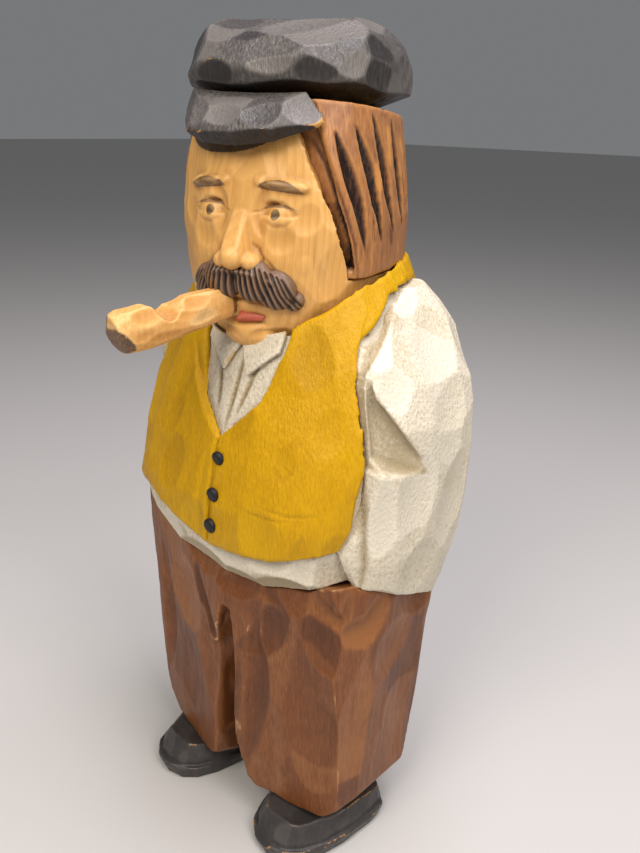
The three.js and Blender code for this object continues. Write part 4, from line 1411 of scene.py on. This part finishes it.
# --------------------------------------------------------------------------- trousers and shoes
@dataclass
class Legs:
    """The trousers and the shoes: long flats down the legs, and small ones over the shoes."""

    fineness: float = 0.67
    fine: float = 0.5  # the grid of the shoes, mm

    def build(self) -> None:
        """Carves and paints the trousers and both shoes."""
        self.trousers()
        for side, out in (("left", 1.0), ("right", -1.0)):
            shoe = Carving("shoe_" + side + "_carved", ["shoe_" + side], self.fine, swell=0.1)
            shoe.whittle(
                81 if out > 0 else 82, 8.0, (0.3, 0.6), 30.0, 24.0, (1, 0.4, 0),
                lambda p, n: (p[:, 2] > 5.5) & (n[:, 2] > -0.2),
            )
            shoe.points[:, 2] = np.maximum(shoe.points[:, 2], 0.0)
            shoe.settle(1)
            shoe.finished(BLACK_SHOE)

    def trousers(self) -> None:
        """Carves the trousers: bold flats round the hips, then long ones down to the hems."""
        cloth = Carving("trouser_legs", ["trousers"], self.fineness, swell=0.15)
        cloth.whittle(71, 12.0, (0.4, 0.8), 190.0, 46.0, tones=(0.15, 0.85))
        for at, facing, depth, along, across, tone in (
            ((44.5, -11, 80), (0.9, -0.36, 0.26), 1.5, 44, 30, 1),
            ((43.5, 9, 80), (0.95, 0.2, 0.24), 1.3, 40, 30, 0.55),
            ((44, 3, 67), (0.99, 0.02, 0.04), 1.1, 30, 28, 0.7),
            ((36, -25, 77), (0.4, -0.91, 0.06), 1.6, 40, 26, 0.05),
            ((28, -27, 87), (0.14, -0.95, 0.26), 1.1, 30, 30, 0.5),
            ((38, -24, 87), (0.5, -0.84, 0.2), 1, 30, 24, 0.8),
            ((21, -27, 74), (-0.06, -0.99, 0.1), 1.3, 44, 24, 0.2),
            ((16, -26, 50), (-0.22, -0.97, 0), 1.2, 200, 30, 0.25),
            ((31, -23.5, 44), (0.3, -0.95, 0), 1, 200, 34, 0.45),
            ((43, -11, 44), (0.97, -0.24, 0), 1.3, 200, 34, 0.85),
            ((41.5, 7, 38), (0.98, 0.14, -0.04), 1.1, 200, 34, 0.65),
            ((-21, -27, 66), (-0.12, -0.99, 0.05), 1.3, 60, 24, 0.9),
            ((-32, -22, 55), (-0.6, -0.8, 0), 1.2, 160, 36, 0.5),
            ((-20, -24.5, 38), (-0.22, -0.97, -0.05), 1.1, 160, 30, 0.3),
            ((-11, -26.5, 52), (0.2, -0.97, 0), 1.1, 120, 20, 0.6),
            ((-9, -27.5, 74), (0.3, -0.93, 0.16), 1.3, 34, 18, 0),
            ((-6, -28, 88), (-0.1, -0.92, 0.36), 1.3, 36, 30, 0.7),
            ((10, -28, 86), (0.1, -0.95, 0.3), 1.2, 36, 24, 0.4),
        ):
            cloth.scoop(Scoop(at, facing, depth, along, across, tone=tone))
        cloth.settle(1)
        cloth.finished(BROWN)


# ------------------------------------------------------------------------------------ the pipe
@dataclass
class Pipe:
    """The whittled pipe: its own piece of bare wood, pushed into the mouth."""

    fineness: float = 0.3
    raised: float = 2.2  # wood left standing on the upper side, above the drilled peg, mm
    longer: float = 1.2  # wood left standing at the end, mm

    def build(self) -> None:
        """Carves flats along the stem and round the end."""
        stick = Carving("whittled_pipe", ["pipe"], self.fineness, Space.HEAD, swell=0.0)
        middle = np.interp(stick.points[:, 1], (-60.0, -48.0, -26.0), (165.7, 166.1, 169.1))
        upper = np.clip((stick.points[:, 2] - middle) / 4.5, 0.0, 1.0)
        stick.points[:, 2] += self.raised * upper * np.clip((-25.0 - stick.points[:, 1]) / 4.0, 0.0, 1.0)
        front = float(stick.points[:, 1].min())
        stick.points[:, 1] -= self.longer * np.clip((front + 8.0 - stick.points[:, 1]) / 8.0, 0.0, 1.0)
        stick.whittle(
            91, 5.0, (0.15, 0.35), 40.0, 10.0, (0, 1, 0.12), lambda p, n: p[:, 1] < front + 24.0, (0.2, 0.9)
        )
        # A notch across the top parts the bowl from the stem, and the end is cut to a blunt point.
        for at, facing, depth, along, across, stroke in (
            ((-10.2, front + 15.2, 174.2), (0.2, 0.35, 0.92), 1.9, 60, 4, (0.95, -0.25, 0)),
            ((-10.6, front + 13.6, 174.2), (0.1, -0.2, 1), 2.3, 60, 2.4, (0.95, -0.25, 0)),
            ((-6.4, front + 19.5, 172.8), (0.85, -0.2, 0.5), 0.7, 18, 9, (0.25, 1, 0.1)),
            ((-9, front + 7.5, 170.5), (0.85, -0.3, 0.42), 0.8, 18, 9, (0.25, 1, 0.1)),
        ):
            stick.scoop(Scoop(at, facing, depth, along, across, stroke, tone=0.35))
        for at, facing, tone in (
            ((-11, front + 0.6, 166), (0.5, -0.7, -0.5), -1),
            ((-15, front + 0.9, 166.4), (-0.3, -0.85, -0.42), -0.8),
            ((-17.8, front + 1.7, 169), (-0.7, -0.7, 0.1), -0.55),
            ((-14.5, front + 3, 173.6), (-0.1, -0.5, 0.86), 0.8),
        ):
            stick.flat(at, facing, tone)
        stick.settle(2)
        stick.finished(PIPE_WOOD, "pipe")


# --------------------------------------------------------------------------- floor, light, camera
@dataclass
class Studio:
    """A plain pale floor under three soft lamps, and the camera."""

    azimuth: float = 43.0
    elevation: float = 20.4
    roll: float = 1.5
    place: Point = (169.65, -168.59, 216.7)  # in the carver's frame, mm
    lens: float = 35.24
    sensor: float = 36.0

    def build(self) -> None:
        """Builds the floor, the lamps, the sky light and the camera."""
        self.floor()
        self.lamps()
        self.camera()

    def floor(self) -> None:
        """Lays a wide pale floor."""
        form = bmesh.new()
        bmesh.ops.create_grid(form, x_segments=1, y_segments=1, size=6.0)
        mesh = bpy.data.meshes.new("floor")
        form.to_mesh(mesh)
        form.free()
        ground = bpy.data.objects.new("floor", mesh)
        bpy.context.scene.collection.objects.link(ground)
        paper = bpy.data.materials.new("pale_paper")
        paper.use_nodes = True
        shader = paper.node_tree.nodes["Principled BSDF"]
        shader.inputs["Base Color"].default_value = linear("#c4c2bf")
        shader.inputs["Roughness"].default_value = 0.85
        mesh.materials.append(paper)

    def lamps(self) -> None:
        """Hangs the soft lamps and sets the light of the room."""
        middle = Vector((0.0, 0.0, 0.12))
        for name, place, size, watts, tint in (
            ("key", (0.14, -0.46, 0.6), 0.3, 2.9, "#fff6ea"),
            ("side", (0.5, -0.1, 0.55), 0.35, 2.4, "#fff8f0"),
            ("top", (0.12, 0.05, 0.8), 0.4, 4.6, "#fbf6ff"),
        ):
            light = bpy.data.lights.new(name, "AREA")
            light.energy, light.size, light.color = watts, size, linear(tint)[:3]
            lamp = bpy.data.objects.new(name, light)
            lamp.location = place
            lamp.rotation_euler = (middle - Vector(place)).to_track_quat("-Z", "Y").to_euler()
            bpy.context.scene.collection.objects.link(lamp)
        world = bpy.data.worlds.new("room")
        world.use_nodes = True
        world.node_tree.nodes["Background"].inputs["Color"].default_value = linear("#e4e6ea")
        world.node_tree.nodes["Background"].inputs["Strength"].default_value = 0.24
        bpy.context.scene.world = world

    def camera(self) -> None:
        """Sets up the camera: it looks down on the figure from its left."""
        a, e = math.radians(self.azimuth), math.radians(self.elevation)
        back = Vector((math.sin(a) * math.cos(e), -math.cos(a) * math.cos(e), math.sin(e)))
        right = Vector((math.cos(a), math.sin(a), 0.0))
        up = back.cross(right)
        turn = Matrix((right, up, back)).transposed().to_4x4()
        turn @= Matrix.Rotation(math.radians(self.roll), 4, "Z")
        place = Space.BODY.outwards(np.array([self.place]))[0]
        lens = bpy.data.cameras.new("camera")
        lens.lens, lens.sensor_width = self.lens, self.sensor
        lens.clip_start = 0.01
        eye = bpy.data.objects.new("camera", lens)
        eye.matrix_world = Matrix.Translation(Vector(place)) @ turn
        bpy.context.scene.collection.objects.link(eye)
        bpy.context.scene.camera = eye


def main() -> None:
    """Builds the figurine's pieces, lights them and sets up the camera."""
    logging.basicConfig(level=logging.INFO, format="%(name)s %(message)s")
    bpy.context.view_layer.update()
    bpy.context.scene.view_settings.view_transform = "Standard"
    for part in (Cap(), Head(), Shirt(), Vest(), Legs(), Pipe(), Studio()):
        part.build()


if __name__ == "__main__":
    main()
